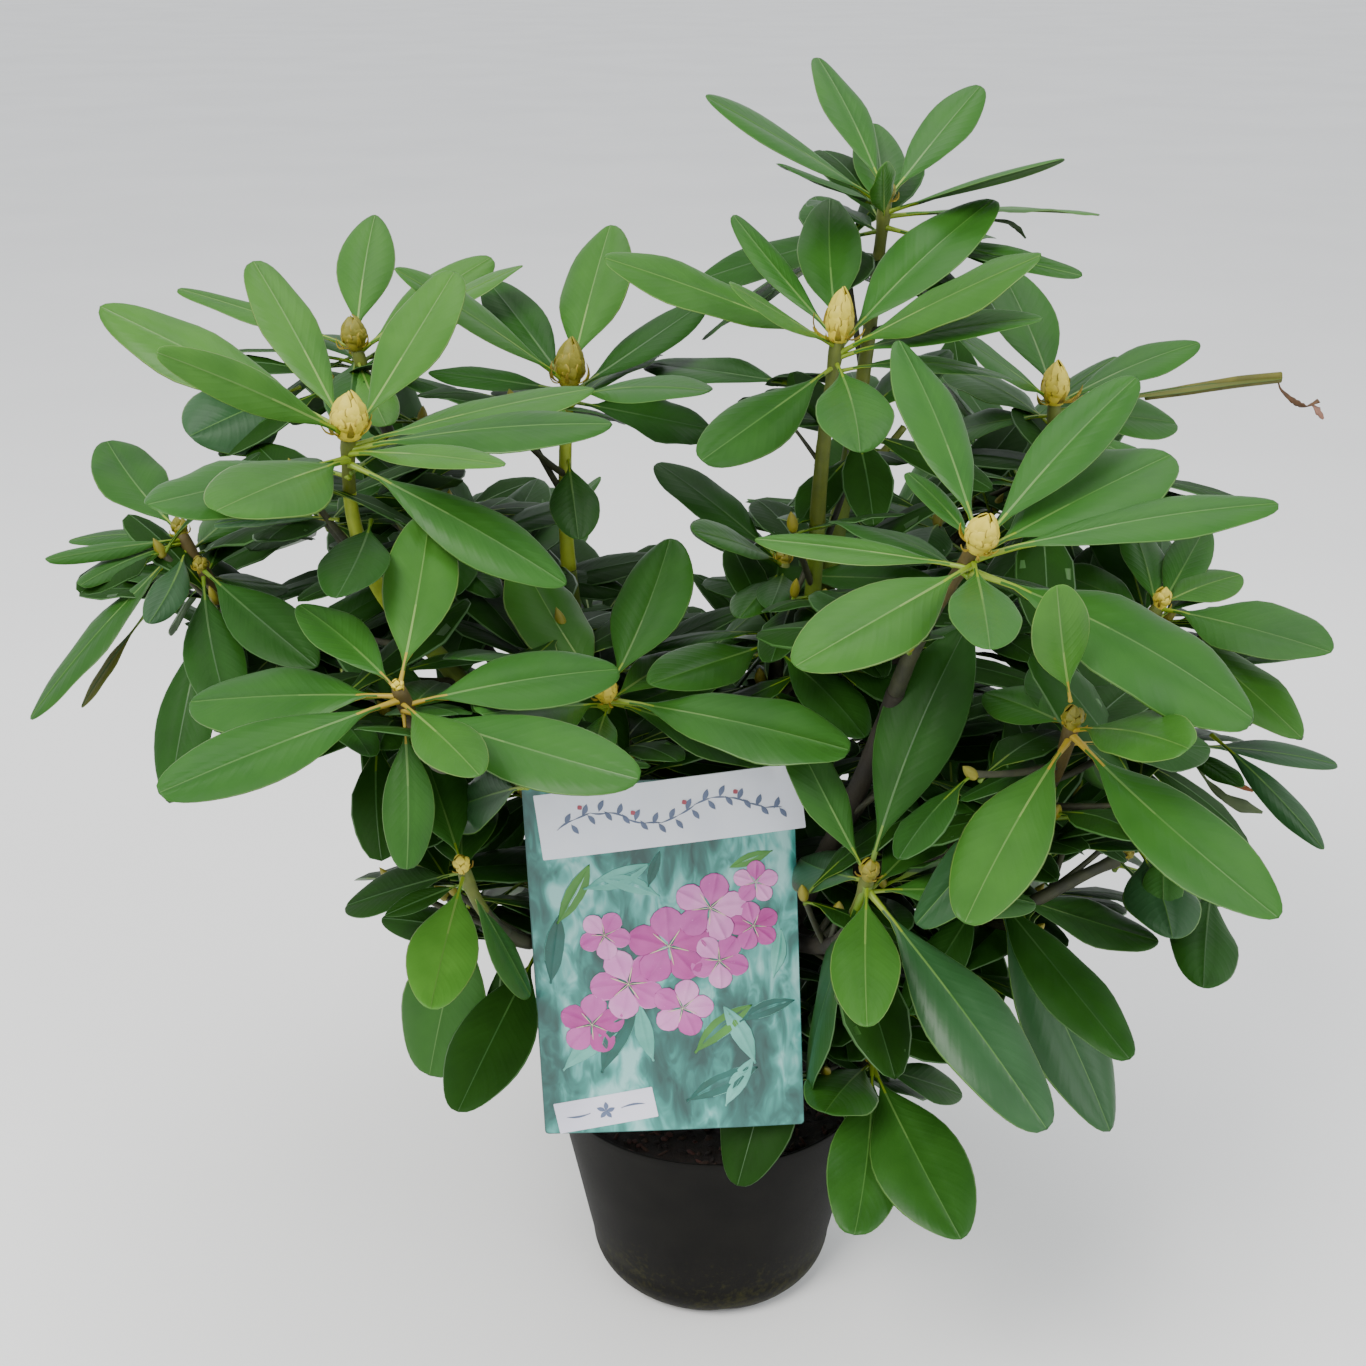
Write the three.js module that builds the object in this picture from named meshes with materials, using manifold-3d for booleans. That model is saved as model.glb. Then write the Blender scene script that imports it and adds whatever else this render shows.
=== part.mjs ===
// A rhododendron in its nursery pot, in millimetres, +Z up, standing on the origin.
// Short trunk, tapering boughs, and one solid for each mass of leaves, all kept clear of each other.

import * as THREE from 'three';
import Module from 'manifold-3d';

const wasm = await Module();
wasm.setup();

// ---------------------------------------------------------------- driving dimensions

const clearance = 0.3;
const potHeight = 140;
const potRimRadius = 95;
const potFootRadius = 60;
const potEdgeRadius = 17;
const potWall = 2;
const potFloor = 3;
const potSides = 28;
const soilTop = 130;

const trunkFoot = [4, 6];
const trunkTop = [0, 10, 205];
const trunkFootRadius = 13;
const trunkTopRadius = 9.5;
const flareReach = 9;
const flareHeight = 14;
const flareLobes = 5;

const boughSides = 6;
const boughSteps = 4;
const twigSides = 4;
const twigSteps = 3;
const budSides = 5;
const twigFootRadius = 4.2;
const twigTipRadius = 3.4;

const leafWidths = [0.33, 0.385];
const leafThickness = 0.022;
const leafArch = 0.05;
const leafStations = [[0, 0.06], [0.18, 0.09], [0.45, 0.95], [0.79, 0.84]];
const bladeStart = 0.4;
const rootSpacing = 1.8;
const lightRise = 35;
const turnToLight = 0.45;

const cardWidth = 150;
const cardHeight = 212;
const cardThickness = 1.2;
const cardCentre = [-28, -98, 280];
const cardLean = 8;
const cardTurn = 2.5;
const bandSize = [147, 38];
const bandPlace = [6, 87];
const bandTurn = 5;
const tabSize = [58, 19];
const tabPlace = [-39, -92];
const tabTurn = 9;
const bandLift = 0.3;
const stakeWidth = 8;
const stakeThickness = 3;
const stakeFoot = [-30, -50];
const stakeKnee = 270;
const stakeTop = 335;

// The sky between the two halves of the crown stays open: x and z of its corners.
const openSky = { x: [-58, 6], z: [430, 560] };

// Each bough: its parent, the place along it, its bend, its tip, and its foot and tip radius.
const boughs = {
  west_high: ['trunk', 0.8, [-70, -20, 330], [-165, -90, 480], [8, 4.6]],
  centre_left: ['trunk', 0.95, [-75, 5, 330], [-84, 0, 478], [7, 4.6]],
  crown_top: ['trunk', 0.97, [55, 20, 360], [80, 24, 560], [8.5, 4.8]],
  far_east: ['trunk', 0.75, [110, 20, 280], [212, 5, 385], [7.5, 4.4]],
  front_east: ['trunk', 0.62, [62, -55, 290], [88, -150, 465], [8, 4.6]],
  back_west: ['trunk', 0.7, [-70, 70, 290], [-155, 120, 395], [7, 4.4]],
  back_east: ['trunk', 0.85, [55, 75, 300], [135, 135, 410], [7, 4.4]],
  back_low: ['trunk', 0.5, [0, 65, 240], [-5, 125, 300], [6, 4.2]],
  low_east: ['trunk', 0.4, [45, -25, 190], [72, -58, 192], [5.5, 4]],
  far_west: ['west_high', 0.62, [-150, -35, 400], [-225, -30, 425], [5.5, 4.2]],
  front_west: ['west_high', 0.48, [-130, -75, 405], [-136, -165, 432], [5.5, 4.2]],
  low_west: ['west_high', 0.2, [-70, -40, 255], [-105, -88, 285], [5, 4]],
  west_back: ['centre_left', 0.45, [-105, 30, 430], [-165, 50, 500], [5.5, 4.2]],
  front_centre: ['centre_left', 0.3, [-50, -25, 345], [-52, -62, 402], [5.5, 4.2]],
  crown_front: ['crown_top', 0.4, [55, -20, 430], [54, -48, 520], [5.8, 4.4]],
  inner: ['crown_top', 0.22, [25, 0, 330], [34, -8, 405], [5, 4]],
  east_high: ['crown_top', 0.45, [110, 40, 400], [168, 52, 460], [5.8, 4.3]],
  front_east_low: ['front_east', 0.5, [115, -115, 350], [145, -155, 390], [5.5, 4.2]],
  low_centre: ['front_east', 0.3, [60, -75, 270], [66, -130, 310], [5.5, 4.2]],
  low_far_east: ['far_east', 0.35, [100, -20, 250], [140, -62, 265], [5, 4]],
};

// Each mass of leaves grows from the bough of its name. A shoot has the place of its whorl, its bud
// (radius, height), and leaves as [azimuth, rise, length], in degrees and millimetres. Azimuth 0 is
// +X and 90 is +Y. A fourth value is the leaf's own share of the turn to the light, and a fifth its
// own width share. More leaves are grown by rule: `behind` on the far side, `ring` all round.
const masses = {
  west_high: [
    { at: [-180, -130, 593], bud: [8.5, 27], behind: 2, leaves: [
      [165, 20, 140], [235, 30, 120, 0.2], [130, 40, 110], [60, 35, 110], [20, 5, 125, 0.1],
      [355, 5, 130, 0.05], [315, 5, 110], [225, -5, 110], [245, -5, 105], [340, -30, 130],
      [265, -35, 100], [165, -40, 90]] },
  ],
  west_back: [
    { at: [-208, 60, 595], bud: [7, 23], behind: 2, leaves: [
      [90, 35, 105], [170, 15, 110], [355, 25, 110], [45, 20, 110], [230, -10, 90], [290, -20, 85]] },
  ],
  centre_left: [
    { at: [-81, 0, 588], bud: [8, 26], behind: 2, leaves: [
      [75, 40, 110], [210, 35, 120], [120, 20, 110], [145, -5, 105], [45, 15, 110], [320, 5, 100],
      [30, -25, 105], [255, -5, 105], [275, -40, 100]] },
  ],
  far_west: [
    { at: [-298, -20, 507], bud: [4, 10], behind: 2, leaves: [
      [125, 15, 100], [145, -10, 90], [240, 10, 95], [250, 0, 90], [200, -45, 135], [270, -10, 95],
      [190, -60, 110], [75, -5, 95]] },
    { at: [-262, -40, 470], bud: [3.5, 8], behind: 2, leaves: [
      [320, -10, 110], [250, -65, 120], [255, -25, 100], [70, -25, 90], [120, -40, 95]] },
  ],
  front_west: [
    { at: [-149, -220, 496], bud: [4.5, 11], behind: 1, leaves: [
      [85, 35, 100], [135, 15, 80], [165, -10, 110], [225, -5, 125], [300, -5, 90], [25, -5, 110],
      [335, -10, 125], [285, -75, 100]] },
  ],
  front_centre: [
    { at: [-58, -130, 455], bud: [5.5, 16], behind: 2, leaves: [
      [70, 30, 110], [125, 20, 100], [340, -5, 130], [15, -35, 120], [60, -5, 85], [240, 15, 110],
      [265, -10, 60]] },
  ],
  low_west: [
    { at: [-136, -130, 355], bud: [4, 9], behind: 2, leaves: [
      [110, 20, 95], [155, -30, 90], [265, -15, 100], [30, -65, 95], [85, 5, 90], [200, 5, 90]] },
    { at: [-122, -70, 279], bud: [3.5, 8], behind: 2, leaves: [
      [255, -15, 110], [215, -65, 120, 0.9, 0.4], [145, -15, 105], [270, -60, 100]] },
  ],
  crown_top: [
    { at: [91, 20, 683], bud: [4.5, 11], behind: 2, leaves: [
      [115, 40, 105], [50, 30, 105], [205, 30, 120, 0.3], [230, 15, 95, 0.1], [325, 15, 105, 0.05],
      [5, -5, 120, 0.05], [265, 35, 45], [90, 20, 90], [300, -25, 80], [165, -20, 95]] },
  ],
  crown_front: [
    { at: [61, -60, 625], bud: [8, 29], behind: 2, leaves: [
      [90, 35, 100], [125, 30, 100], [195, 20, 130], [220, 25, 75], [35, 30, 120], [325, 25, 120],
      [330, 10, 110], [275, -20, 100], [225, -25, 110], [135, -5, 105]] },
  ],
  east_high: [
    { at: [199, 60, 563], bud: [7.5, 24], behind: 2, leaves: [
      [105, 35, 105], [215, 30, 95], [20, 15, 100, 0.25], [25, -15, 95], [5, 5, 135, 0.05], [135, -25, 105],
      [265, -30, 90], [310, -20, 85]] },
  ],
  front_east: [
    { at: [113, -220, 565], bud: [8, 24], behind: 2, leaves: [
      [110, 40, 115], [115, 15, 65], [40, 30, 120], [30, 10, 120], [5, 5, 140, 0.25], [265, -10, 90],
      [220, -15, 115], [160, -5, 105, 0.25], [350, -30, 145]] },
  ],
  far_east: [
    { at: [257, 0, 457], bud: [4.5, 12], behind: 2, leaves: [
      [35, 0, 70], [310, 0, 110], [60, 15, 90], [90, 15, 90], [300, -20, 120], [120, -5, 100]] },
    { at: [286, 10, 363], bud: [3.5, 8], behind: 2, leaves: [
      [15, -15, 110], [295, -10, 110], [285, 0, 60]] },
  ],
  front_east_low: [
    { at: [166, -200, 470], bud: [4.5, 11], behind: 2, leaves: [
      [85, 25, 90], [115, -30, 100], [300, 15, 80], [300, -15, 140], [235, -30, 120],
      [190, -55, 125], [30, -20, 100]] },
  ],
  low_centre: [
    { at: [75, -180, 378], bud: [4.5, 11], behind: 2, leaves: [
      [40, 65, 130], [110, 10, 105], [120, -15, 70], [195, -70, 125], [265, -20, 95], [310, -35, 150],
      [20, -20, 105]] },
  ],
  low_east: [
    { at: [92, -90, 207], bud: [3.5, 8], behind: 2, leaves: [
      [260, -25, 110], [290, -20, 120], [245, 10, 80], [30, -35, 85]] },
    { at: [44, -58, 226], bud: [3, 7], behind: 1, leaves: [[240, -55, 110, 0.3, 0.3]] },
  ],
  inner: [
    { at: [39, 0, 483], bud: [4, 10], behind: 2, leaves: [
      [135, 20, 110], [230, 25, 90], [250, -5, 80], [270, 0, 80], [25, 0, 95]] },
    { at: [30, -45, 450], bud: [3.5, 8], behind: 1, leaves: [
      [235, 0, 115], [105, -40, 100], [300, -20, 95], [180, -25, 100]] },
  ],
  low_far_east: [
    { at: [150, -90, 326], bud: [4, 9], behind: 2, leaves: [
      [295, -15, 140], [305, -45, 150], [10, -25, 120], [230, -35, 90]] },
    { at: [235, -60, 325], bud: [3.5, 8], behind: 2, leaves: [
      [285, -20, 105], [255, -15, 85], [320, -35, 90], [20, -25, 95]] },
  ],
  back_west: [
    { at: [-215, 165, 475], bud: [4.5, 12], ring: 7, leaves: [] },
    { at: [-130, 190, 400], bud: [4, 9], ring: 7, leaves: [] },
    { at: [-245, 110, 370], bud: [4, 9], ring: 6, leaves: [] },
  ],
  back_east: [
    { at: [180, 170, 490], bud: [5, 13], ring: 7, leaves: [] },
    { at: [110, 205, 420], bud: [4, 9], ring: 7, leaves: [] },
    { at: [230, 120, 360], bud: [4, 9], ring: 6, leaves: [] },
  ],
  back_low: [
    { at: [-10, 185, 345], bud: [4, 9], ring: 7, leaves: [] },
    { at: [-95, 150, 270], bud: [3.5, 8], ring: 6, leaves: [] },
    { at: [95, 150, 265], bud: [3.5, 8], ring: 6, leaves: [] },
  ],
};

// ---------------------------------------------------------------- materials

const finishes = {
  pot: { color: 0x2e2b29, roughness: 0.6, metalness: 0 },
  soil: { color: 0x33241c, roughness: 0.95, metalness: 0 },
  trunk: { color: 0x5f4a33, roughness: 0.85, metalness: 0 },
  bough: { color: 0x7b7138, roughness: 0.75, metalness: 0 },
  leaf: { color: 0x3f7a3a, roughness: 0.45, metalness: 0 },
  card: { color: 0xe8e6e0, roughness: 0.4, metalness: 0 },
  stake: { color: 0x2f5f3a, roughness: 0.5, metalness: 0 },
};

const plant = new THREE.Group();

function addNode(name, geometry, finish) {
  geometry.computeVertexNormals();
  const mesh = new THREE.Mesh(geometry, new THREE.MeshStandardMaterial(finish));
  mesh.name = name;
  plant.add(mesh);
  return mesh;
}

// ---------------------------------------------------------------- solids

function toSolid(points, faces) {
  const positions = new Float32Array(points.flatMap((point) => point.toArray()));
  return new wasm.Manifold(new wasm.Mesh({
    numProp: 3,
    vertProperties: positions,
    triVerts: new Uint32Array(faces.flat()),
  }));
}

function toGeometry(solid) {
  const mesh = solid.getMesh();
  const geometry = new THREE.BufferGeometry();
  geometry.setAttribute('position', new THREE.BufferAttribute(mesh.vertProperties, 3));
  geometry.setIndex(new THREE.BufferAttribute(mesh.triVerts, 1));
  return geometry;
}

// The outer skin of the largest piece: loose scraps are dropped and sealed hollows filled.
function largestPiece(solid) {
  const pieces = solid.decompose();
  return pieces.reduce((best, piece) => (piece.volume() > best.volume() ? piece : best));
}

// Rings of equal count joined into a closed tube: flat ends, or a point where an end ring has one point.
function ringSolid(rings) {
  const points = rings.flat();
  const faces = [];
  let start = 0;
  for (let i = 0; i < rings.length - 1; i += 1) {
    const count = rings[i].length;
    const next = start + count;
    for (let k = 0; k < count; k += 1) {
      const after = (k + 1) % count;
      if (rings[i + 1].length === 1) {
        faces.push([start + k, start + after, next]);
      } else {
        faces.push([start + k, start + after, next + after], [start + k, next + after, next + k]);
      }
    }
    start = next;
  }
  for (let k = 1; k < rings[0].length - 1; k += 1) {
    faces.push([0, k + 1, k]);
  }
  for (let k = 1; k < rings[rings.length - 1].length - 1; k += 1) {
    faces.push([start, start + k, start + k + 1]);
  }
  return toSolid(points, faces);
}

function curveRings(curve, radiusAt, sides, steps) {
  const frames = curve.computeFrenetFrames(steps, false);
  const rings = [];
  for (let i = 0; i <= steps; i += 1) {
    const centre = curve.getPointAt(i / steps);
    const ring = [];
    for (let k = 0; k < sides; k += 1) {
      const angle = (2 * Math.PI * k) / sides;
      const radius = radiusAt(i / steps, angle);
      ring.push(centre.clone()
        .addScaledVector(frames.normals[i], radius * Math.cos(angle))
        .addScaledVector(frames.binormals[i], radius * Math.sin(angle)));
    }
    rings.push(ring);
  }
  return rings;
}

function limbSolid(curve, footRadius, tipRadius, sides, steps) {
  return ringSolid(curveRings(curve, (t) => footRadius + (tipRadius - footRadius) * t, sides, steps));
}

function vector(triple) {
  return new THREE.Vector3(...triple);
}

// ---------------------------------------------------------------- pot and soil

function lathe(profile, sides) {
  const points = profile.map(([radius, height]) => new THREE.Vector2(radius, height));
  return new THREE.LatheGeometry(points, sides).rotateX(Math.PI / 2);
}

function potProfile(inset, floor, top) {
  const wallFoot = potFootRadius + potEdgeRadius;
  const slope = (potRimRadius - wallFoot) / (potHeight - potEdgeRadius);
  const radiusAt = (height) => wallFoot + slope * (height - potEdgeRadius) - inset;
  return [
    [potFootRadius - inset, floor],
    [potFootRadius + 0.7 * potEdgeRadius - inset, floor + 0.28 * potEdgeRadius],
    [radiusAt(potEdgeRadius + floor), potEdgeRadius + floor],
    [radiusAt(top), top],
  ];
}

const potOuter = potProfile(0, 0, potHeight);
const potInner = potProfile(potWall, potFloor, potHeight).reverse();
addNode('pot', lathe([[0, 0], ...potOuter, ...potInner, [0, potFloor]], potSides), finishes.pot);

const soilSide = potProfile(potWall + clearance, potFloor + clearance, soilTop);
addNode('soil', lathe([[0, potFloor + clearance], ...soilSide, [0, soilTop]], potSides), finishes.soil);

// ---------------------------------------------------------------- label card and its stake

function plate([width, height], thickness, [x, z], turn, front) {
  const corners = [[-1, -1], [1, -1], [1, 1], [-1, 1]];
  const angle = THREE.MathUtils.degToRad(turn);
  const ringAt = (y) => corners.map(([i, k]) => {
    const across = (i * width) / 2;
    const up = (k * height) / 2;
    return new THREE.Vector3(
      x + across * Math.cos(angle) - up * Math.sin(angle),
      y,
      z + across * Math.sin(angle) + up * Math.cos(angle),
    );
  });
  return ringSolid([ringAt(front + thickness), ringAt(front)]);
}

const cardFront = -cardThickness / 2;
const cardTransform = new THREE.Matrix4().compose(
  vector(cardCentre),
  new THREE.Quaternion().setFromEuler(new THREE.Euler(
    -THREE.MathUtils.degToRad(cardLean), -THREE.MathUtils.degToRad(cardTurn), 0)),
  new THREE.Vector3(1, 1, 1),
);
const cardSolid = plate([cardWidth, cardHeight], cardThickness, [0, 0], 0, cardFront)
  .add(plate(bandSize, cardThickness, bandPlace, bandTurn, cardFront - bandLift))
  .add(plate(tabSize, cardThickness, tabPlace, tabTurn, cardFront - bandLift))
  .transform(cardTransform.elements);
addNode('label_card', toGeometry(cardSolid), finishes.card);

// The stake leans out of the soil to the back of the card, then runs up it, a clearance away.
function stakeRing(centre, height) {
  const half = [stakeWidth / 2, stakeThickness / 2];
  return [[-1, -1], [1, -1], [1, 1], [-1, 1]].map(([i, k]) => new THREE.Vector3(
    stakeFoot[0] + i * half[0], centre + k * half[1], height));
}

function behindCard(height) {
  const lean = THREE.MathUtils.degToRad(cardLean);
  const middle = cardCentre[1] + (height - cardCentre[2]) * Math.tan(lean);
  return middle + cardThickness / 2 / Math.cos(lean) + clearance + stakeThickness / 2;
}

const stakeSolid = ringSolid([
  stakeRing(stakeFoot[1], soilTop + clearance),
  stakeRing(behindCard(stakeKnee), stakeKnee),
  stakeRing(behindCard(stakeTop), stakeTop),
]);
addNode('label_stake', toGeometry(stakeSolid), finishes.stake);

// ---------------------------------------------------------------- trunk and boughs

const limbCurves = {};
const limbShells = {};
const obstacles = [];

function addObstacle(solid, owner) {
  obstacles.push({ solid, owner, box: solid.boundingBox() });
}

function trunkCurve() {
  const foot = new THREE.Vector3(trunkFoot[0], trunkFoot[1], soilTop + clearance);
  const top = vector(trunkTop);
  const bend = new THREE.Vector3(foot.x, foot.y, (foot.z + top.z) / 2);
  return new THREE.QuadraticBezierCurve3(foot, bend, top);
}

// The trunk's radius falls to its top, and its foot spreads in lobes over the first few millimetres.
function trunkSolid(extra) {
  const height = trunkTop[2] - soilTop;
  const radiusAt = (t, angle) => {
    const flare = flareReach * Math.exp((-t * height) / flareHeight);
    const taper = trunkFootRadius + (trunkTopRadius - trunkFootRadius) * t;
    return taper + flare * (0.6 + 0.4 * Math.cos(flareLobes * angle)) + extra;
  };
  const rings = curveRings(limbCurves.trunk, radiusAt, 2 * flareLobes, 6);
  for (const point of rings[0]) {
    point.z = soilTop + clearance;
  }
  return ringSolid(rings);
}

limbCurves.trunk = trunkCurve();
limbShells.trunk = trunkSolid(clearance);
addNode('trunk', toGeometry(trunkSolid(0)), finishes.trunk);
addObstacle(limbShells.trunk, 'trunk');

for (const [name, [parent, along, bend, tip, [footRadius, tipRadius]]] of Object.entries(boughs)) {
  const start = limbCurves[parent].getPointAt(along);
  const curve = new THREE.QuadraticBezierCurve3(start, vector(bend), vector(tip));
  let solid = limbSolid(curve, footRadius, tipRadius, boughSides, boughSteps);
  for (const shell of Object.values(limbShells)) {
    solid = solid.subtract(shell);
  }
  limbCurves[name] = curve;
  limbShells[name] = limbSolid(curve, footRadius + clearance, tipRadius + clearance, boughSides, boughSteps);
  addNode(`bough_${name}`, toGeometry(largestPiece(solid)), finishes.bough);
  addObstacle(limbShells[name], `bough_${name}`);
}

addObstacle(cardSolid, 'label_card');
addObstacle(stakeSolid, 'label_stake');

// ---------------------------------------------------------------- leaves

// A small repeatable random number between 0 and 1.
function seeded(seed) {
  let state = seed;
  return () => {
    state = (state * 1664525 + 1013904223) % 4294967296;
    return state / 4294967296;
  };
}

function direction(azimuth, rise) {
  const a = THREE.MathUtils.degToRad(azimuth);
  const e = THREE.MathUtils.degToRad(rise);
  return new THREE.Vector3(Math.cos(a) * Math.cos(e), Math.sin(a) * Math.cos(e), Math.sin(e));
}

// Leaves turn part of the way round to the light, which comes from above or from the front.
function rollToLight(along, light) {
  const level = new THREE.Vector3(-along.y, along.x, 0).normalize();
  const above = along.clone().cross(level);
  return Math.atan2(-light.dot(level), light.dot(above));
}

// A leaf runs from its root to its tip on a shallow arch. Its section is a flat top over a keel.
// `from` leaves out the stalk and `extra` thickens it, for tests of what it would touch.
function leafSolid(leaf, from = 0, extra = 0) {
  const chord = leaf.tip.clone().sub(leaf.root);
  const length = chord.length();
  const along = chord.clone().normalize();
  const level = new THREE.Vector3(-along.y, along.x, 0).normalize();
  const roll = leaf.turn * rollToLight(along, leaf.light) + THREE.MathUtils.degToRad(leaf.roll);
  const side = level.applyAxisAngle(along, roll);
  const up = along.clone().cross(side);
  const centreAt = (t) => leaf.root.clone()
    .addScaledVector(chord, t)
    .addScaledVector(up, 4 * leafArch * length * t * (1 - t));
  const rings = leafStations.filter(([t]) => t >= from).map(([t, share]) => {
    const half = (share * leaf.width * length) / 2 + extra;
    const depth = leafThickness * length + 2 * extra;
    const centre = centreAt(t).addScaledVector(up, extra);
    return [
      centre.clone().addScaledVector(side, half),
      centre.clone().addScaledVector(side, -half),
      centre.clone().addScaledVector(up, -depth),
    ];
  });
  return ringSolid([...rings, [leaf.tip.clone().addScaledVector(along, extra)]]);
}

function boxesApart(a, b) {
  return [0, 1, 2].some((i) => a.min[i] > b.max[i] || b.min[i] > a.max[i]);
}

function touches(solid, other) {
  if (boxesApart(solid.boundingBox(), other.box)) {
    return false;
  }
  return !solid.intersect(other.solid).isEmpty();
}

const blades = [];

// A leaf is kept where all of it misses other masses and limbs, and its blade misses its mass's own.
function hasRoom(leaf, owner) {
  const whole = leafSolid(leaf, 0, clearance);
  if (obstacles.some((other) => other.owner !== owner && touches(whole, other))) {
    return false;
  }
  const blade = leafSolid(leaf, bladeStart);
  return !blades.some((other) => other.owner === owner && touches(blade, other));
}

const frontLight = direction(270, lightRise);
const topLight = direction(0, 90);

function inOpenSky(point) {
  const { x, z } = openSky;
  return point.x > x[0] && point.x < x[1] && point.z > z[0] && point.z < z[1];
}

// A leaf with no room where it wants to be is tried again at each of these [swing, lift] in degrees.
const nudges = [
  [0, 0], [0, 7], [0, -7], [8, 0], [-8, 0], [8, 10], [-8, 10], [10, -12], [-10, -12], [0, 18],
];

function growLeaf(shoot, index, leafSizes, roll, spread, owner, seen) {
  const [azimuth, rise, length, turn = turnToLight, width = spread] = leafSizes;
  const root = shoot.place.clone().addScaledVector(shoot.axis, -rootSpacing * index - 1);
  for (const [swing, lift] of nudges) {
    const tip = shoot.place.clone().addScaledVector(direction(azimuth + swing, rise + lift), length);
    const leaf = { root, tip, roll, turn, width, light: seen ? frontLight : topLight };
    if (!seen && inOpenSky(tip)) {
      continue;
    }
    if (hasRoom(leaf, owner)) {
      return leaf;
    }
  }
  return null;
}

function wantedLeaves(shoot, random) {
  const wanted = shoot.leaves.map((leaf) => ({ leaf, seen: true }));
  for (let k = 0; k < (shoot.behind ?? 0); k += 1) {
    const azimuth = 90 + 150 * ((k + 0.5) / shoot.behind - 0.5) + 20 * (random() - 0.5);
    wanted.push({ leaf: [azimuth, -25 + 25 * random(), 85 + 25 * random()], seen: false });
  }
  for (let k = 0; k < (shoot.ring ?? 0); k += 1) {
    const azimuth = 137.5 * k + 20 * random();
    const rise = 35 - (60 * k) / shoot.ring + 10 * random();
    wanted.push({ leaf: [azimuth, rise, 92 + 26 * random()], seen: false });
  }
  return wanted;
}

function budSolid(shoot) {
  const [radius, height] = shoot.bud;
  const tip = shoot.place.clone().addScaledVector(shoot.axis, height);
  const curve = new THREE.LineCurve3(shoot.place.clone().addScaledVector(shoot.axis, -3), tip);
  const swell = (t) => radius * Math.sin(Math.PI * Math.min(0.22 + 0.7 * t, 1)) ** 0.8;
  const rings = curveRings(curve, swell, budSides, 3).slice(0, 3);
  return ringSolid([...rings, [tip]]);
}

// ---------------------------------------------------------------- masses of leaves

const grown = {};

// The wood of a mass: its first shoot leaves the bough's tip, and the others fork from that shoot.
function growWood(name, shoots) {
  const bough = limbCurves[name];
  const heading = bough.getTangentAt(1);
  const base = bough.getPointAt(1).addScaledVector(heading, clearance);
  let stem = null;
  const wood = shoots.map((shoot) => {
    shoot.place = vector(shoot.at);
    const start = stem ? stem.getPointAt(0.3) : base;
    const leaving = stem ? stem.getTangentAt(0.3) : heading;
    const span = shoot.place.distanceTo(start);
    const middle = start.clone().addScaledVector(leaving, span * 0.45);
    const twig = new THREE.QuadraticBezierCurve3(start, middle, shoot.place);
    shoot.axis = twig.getTangentAt(1).add(new THREE.Vector3(0, 0, 1)).normalize();
    stem = stem ?? twig;
    return limbSolid(twig, twigFootRadius, twigTipRadius, twigSides, twigSteps).add(budSolid(shoot));
  });
  grown[name] = wood.reduce((all, piece) => all.add(piece));
  addObstacle(grown[name], name);
}

function growLeaves(name, shoots, massIndex, seen) {
  const random = seeded(7 + 31 * massIndex);
  for (const shoot of shoots) {
    wantedLeaves(shoot, random).forEach((wanted, index) => {
      const roll = 20 * (random() - 0.5);
      const spread = leafWidths[0] + (leafWidths[1] - leafWidths[0]) * random();
      const leaf = wanted.seen === seen
        ? growLeaf(shoot, index, wanted.leaf, roll, spread, name, seen)
        : null;
      if (leaf) {
        const body = leafSolid(leaf);
        blades.push({ solid: leafSolid(leaf, bladeStart), box: body.boundingBox(), owner: name });
        addObstacle(body, name);
        grown[name] = grown[name].add(body);
      }
    });
  }
}

Object.entries(masses).forEach(([name, shoots]) => growWood(name, shoots));

// The leaves that face the front are placed first in every mass, and the rest fill in behind.
for (const seen of [true, false]) {
  Object.entries(masses).forEach(([name, shoots], massIndex) => growLeaves(name, shoots, massIndex, seen));
}

for (const name of Object.keys(masses)) {
  addNode(`foliage_${name}`, toGeometry(largestPiece(grown[name])), finishes.leaf);
}

export default plant;
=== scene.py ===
import math

import bpy
import numpy as np
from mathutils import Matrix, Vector
from mathutils.bvhtree import BVHTree


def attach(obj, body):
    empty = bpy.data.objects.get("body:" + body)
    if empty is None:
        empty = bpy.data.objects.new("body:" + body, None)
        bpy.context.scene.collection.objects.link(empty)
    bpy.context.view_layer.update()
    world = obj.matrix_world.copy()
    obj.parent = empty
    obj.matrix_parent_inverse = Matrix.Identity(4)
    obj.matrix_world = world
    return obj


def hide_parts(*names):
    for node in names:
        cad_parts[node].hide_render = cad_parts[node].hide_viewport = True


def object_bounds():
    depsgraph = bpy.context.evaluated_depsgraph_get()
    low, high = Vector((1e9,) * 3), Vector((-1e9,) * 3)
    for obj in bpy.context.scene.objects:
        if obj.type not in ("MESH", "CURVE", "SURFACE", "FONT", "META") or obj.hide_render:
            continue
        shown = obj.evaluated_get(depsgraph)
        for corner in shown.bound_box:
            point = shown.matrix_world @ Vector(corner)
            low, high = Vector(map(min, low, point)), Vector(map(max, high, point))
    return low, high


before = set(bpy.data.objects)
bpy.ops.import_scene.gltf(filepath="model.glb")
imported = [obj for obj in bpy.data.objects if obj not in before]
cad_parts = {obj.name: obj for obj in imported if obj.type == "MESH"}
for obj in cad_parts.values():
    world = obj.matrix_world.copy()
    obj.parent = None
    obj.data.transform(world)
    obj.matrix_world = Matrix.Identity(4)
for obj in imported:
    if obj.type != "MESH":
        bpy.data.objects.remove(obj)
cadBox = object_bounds()
millimetre = 0.001  # lengths below are in millimetres and go into the meshes in metres
gap = 0.3           # the room kept between pieces that only touch
print("frame loaded:", len(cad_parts), "nodes")


# Arrays, directions and smooth noise.

def unit(v):
    return v / np.linalg.norm(v, axis=-1, keepdims=True)


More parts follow.
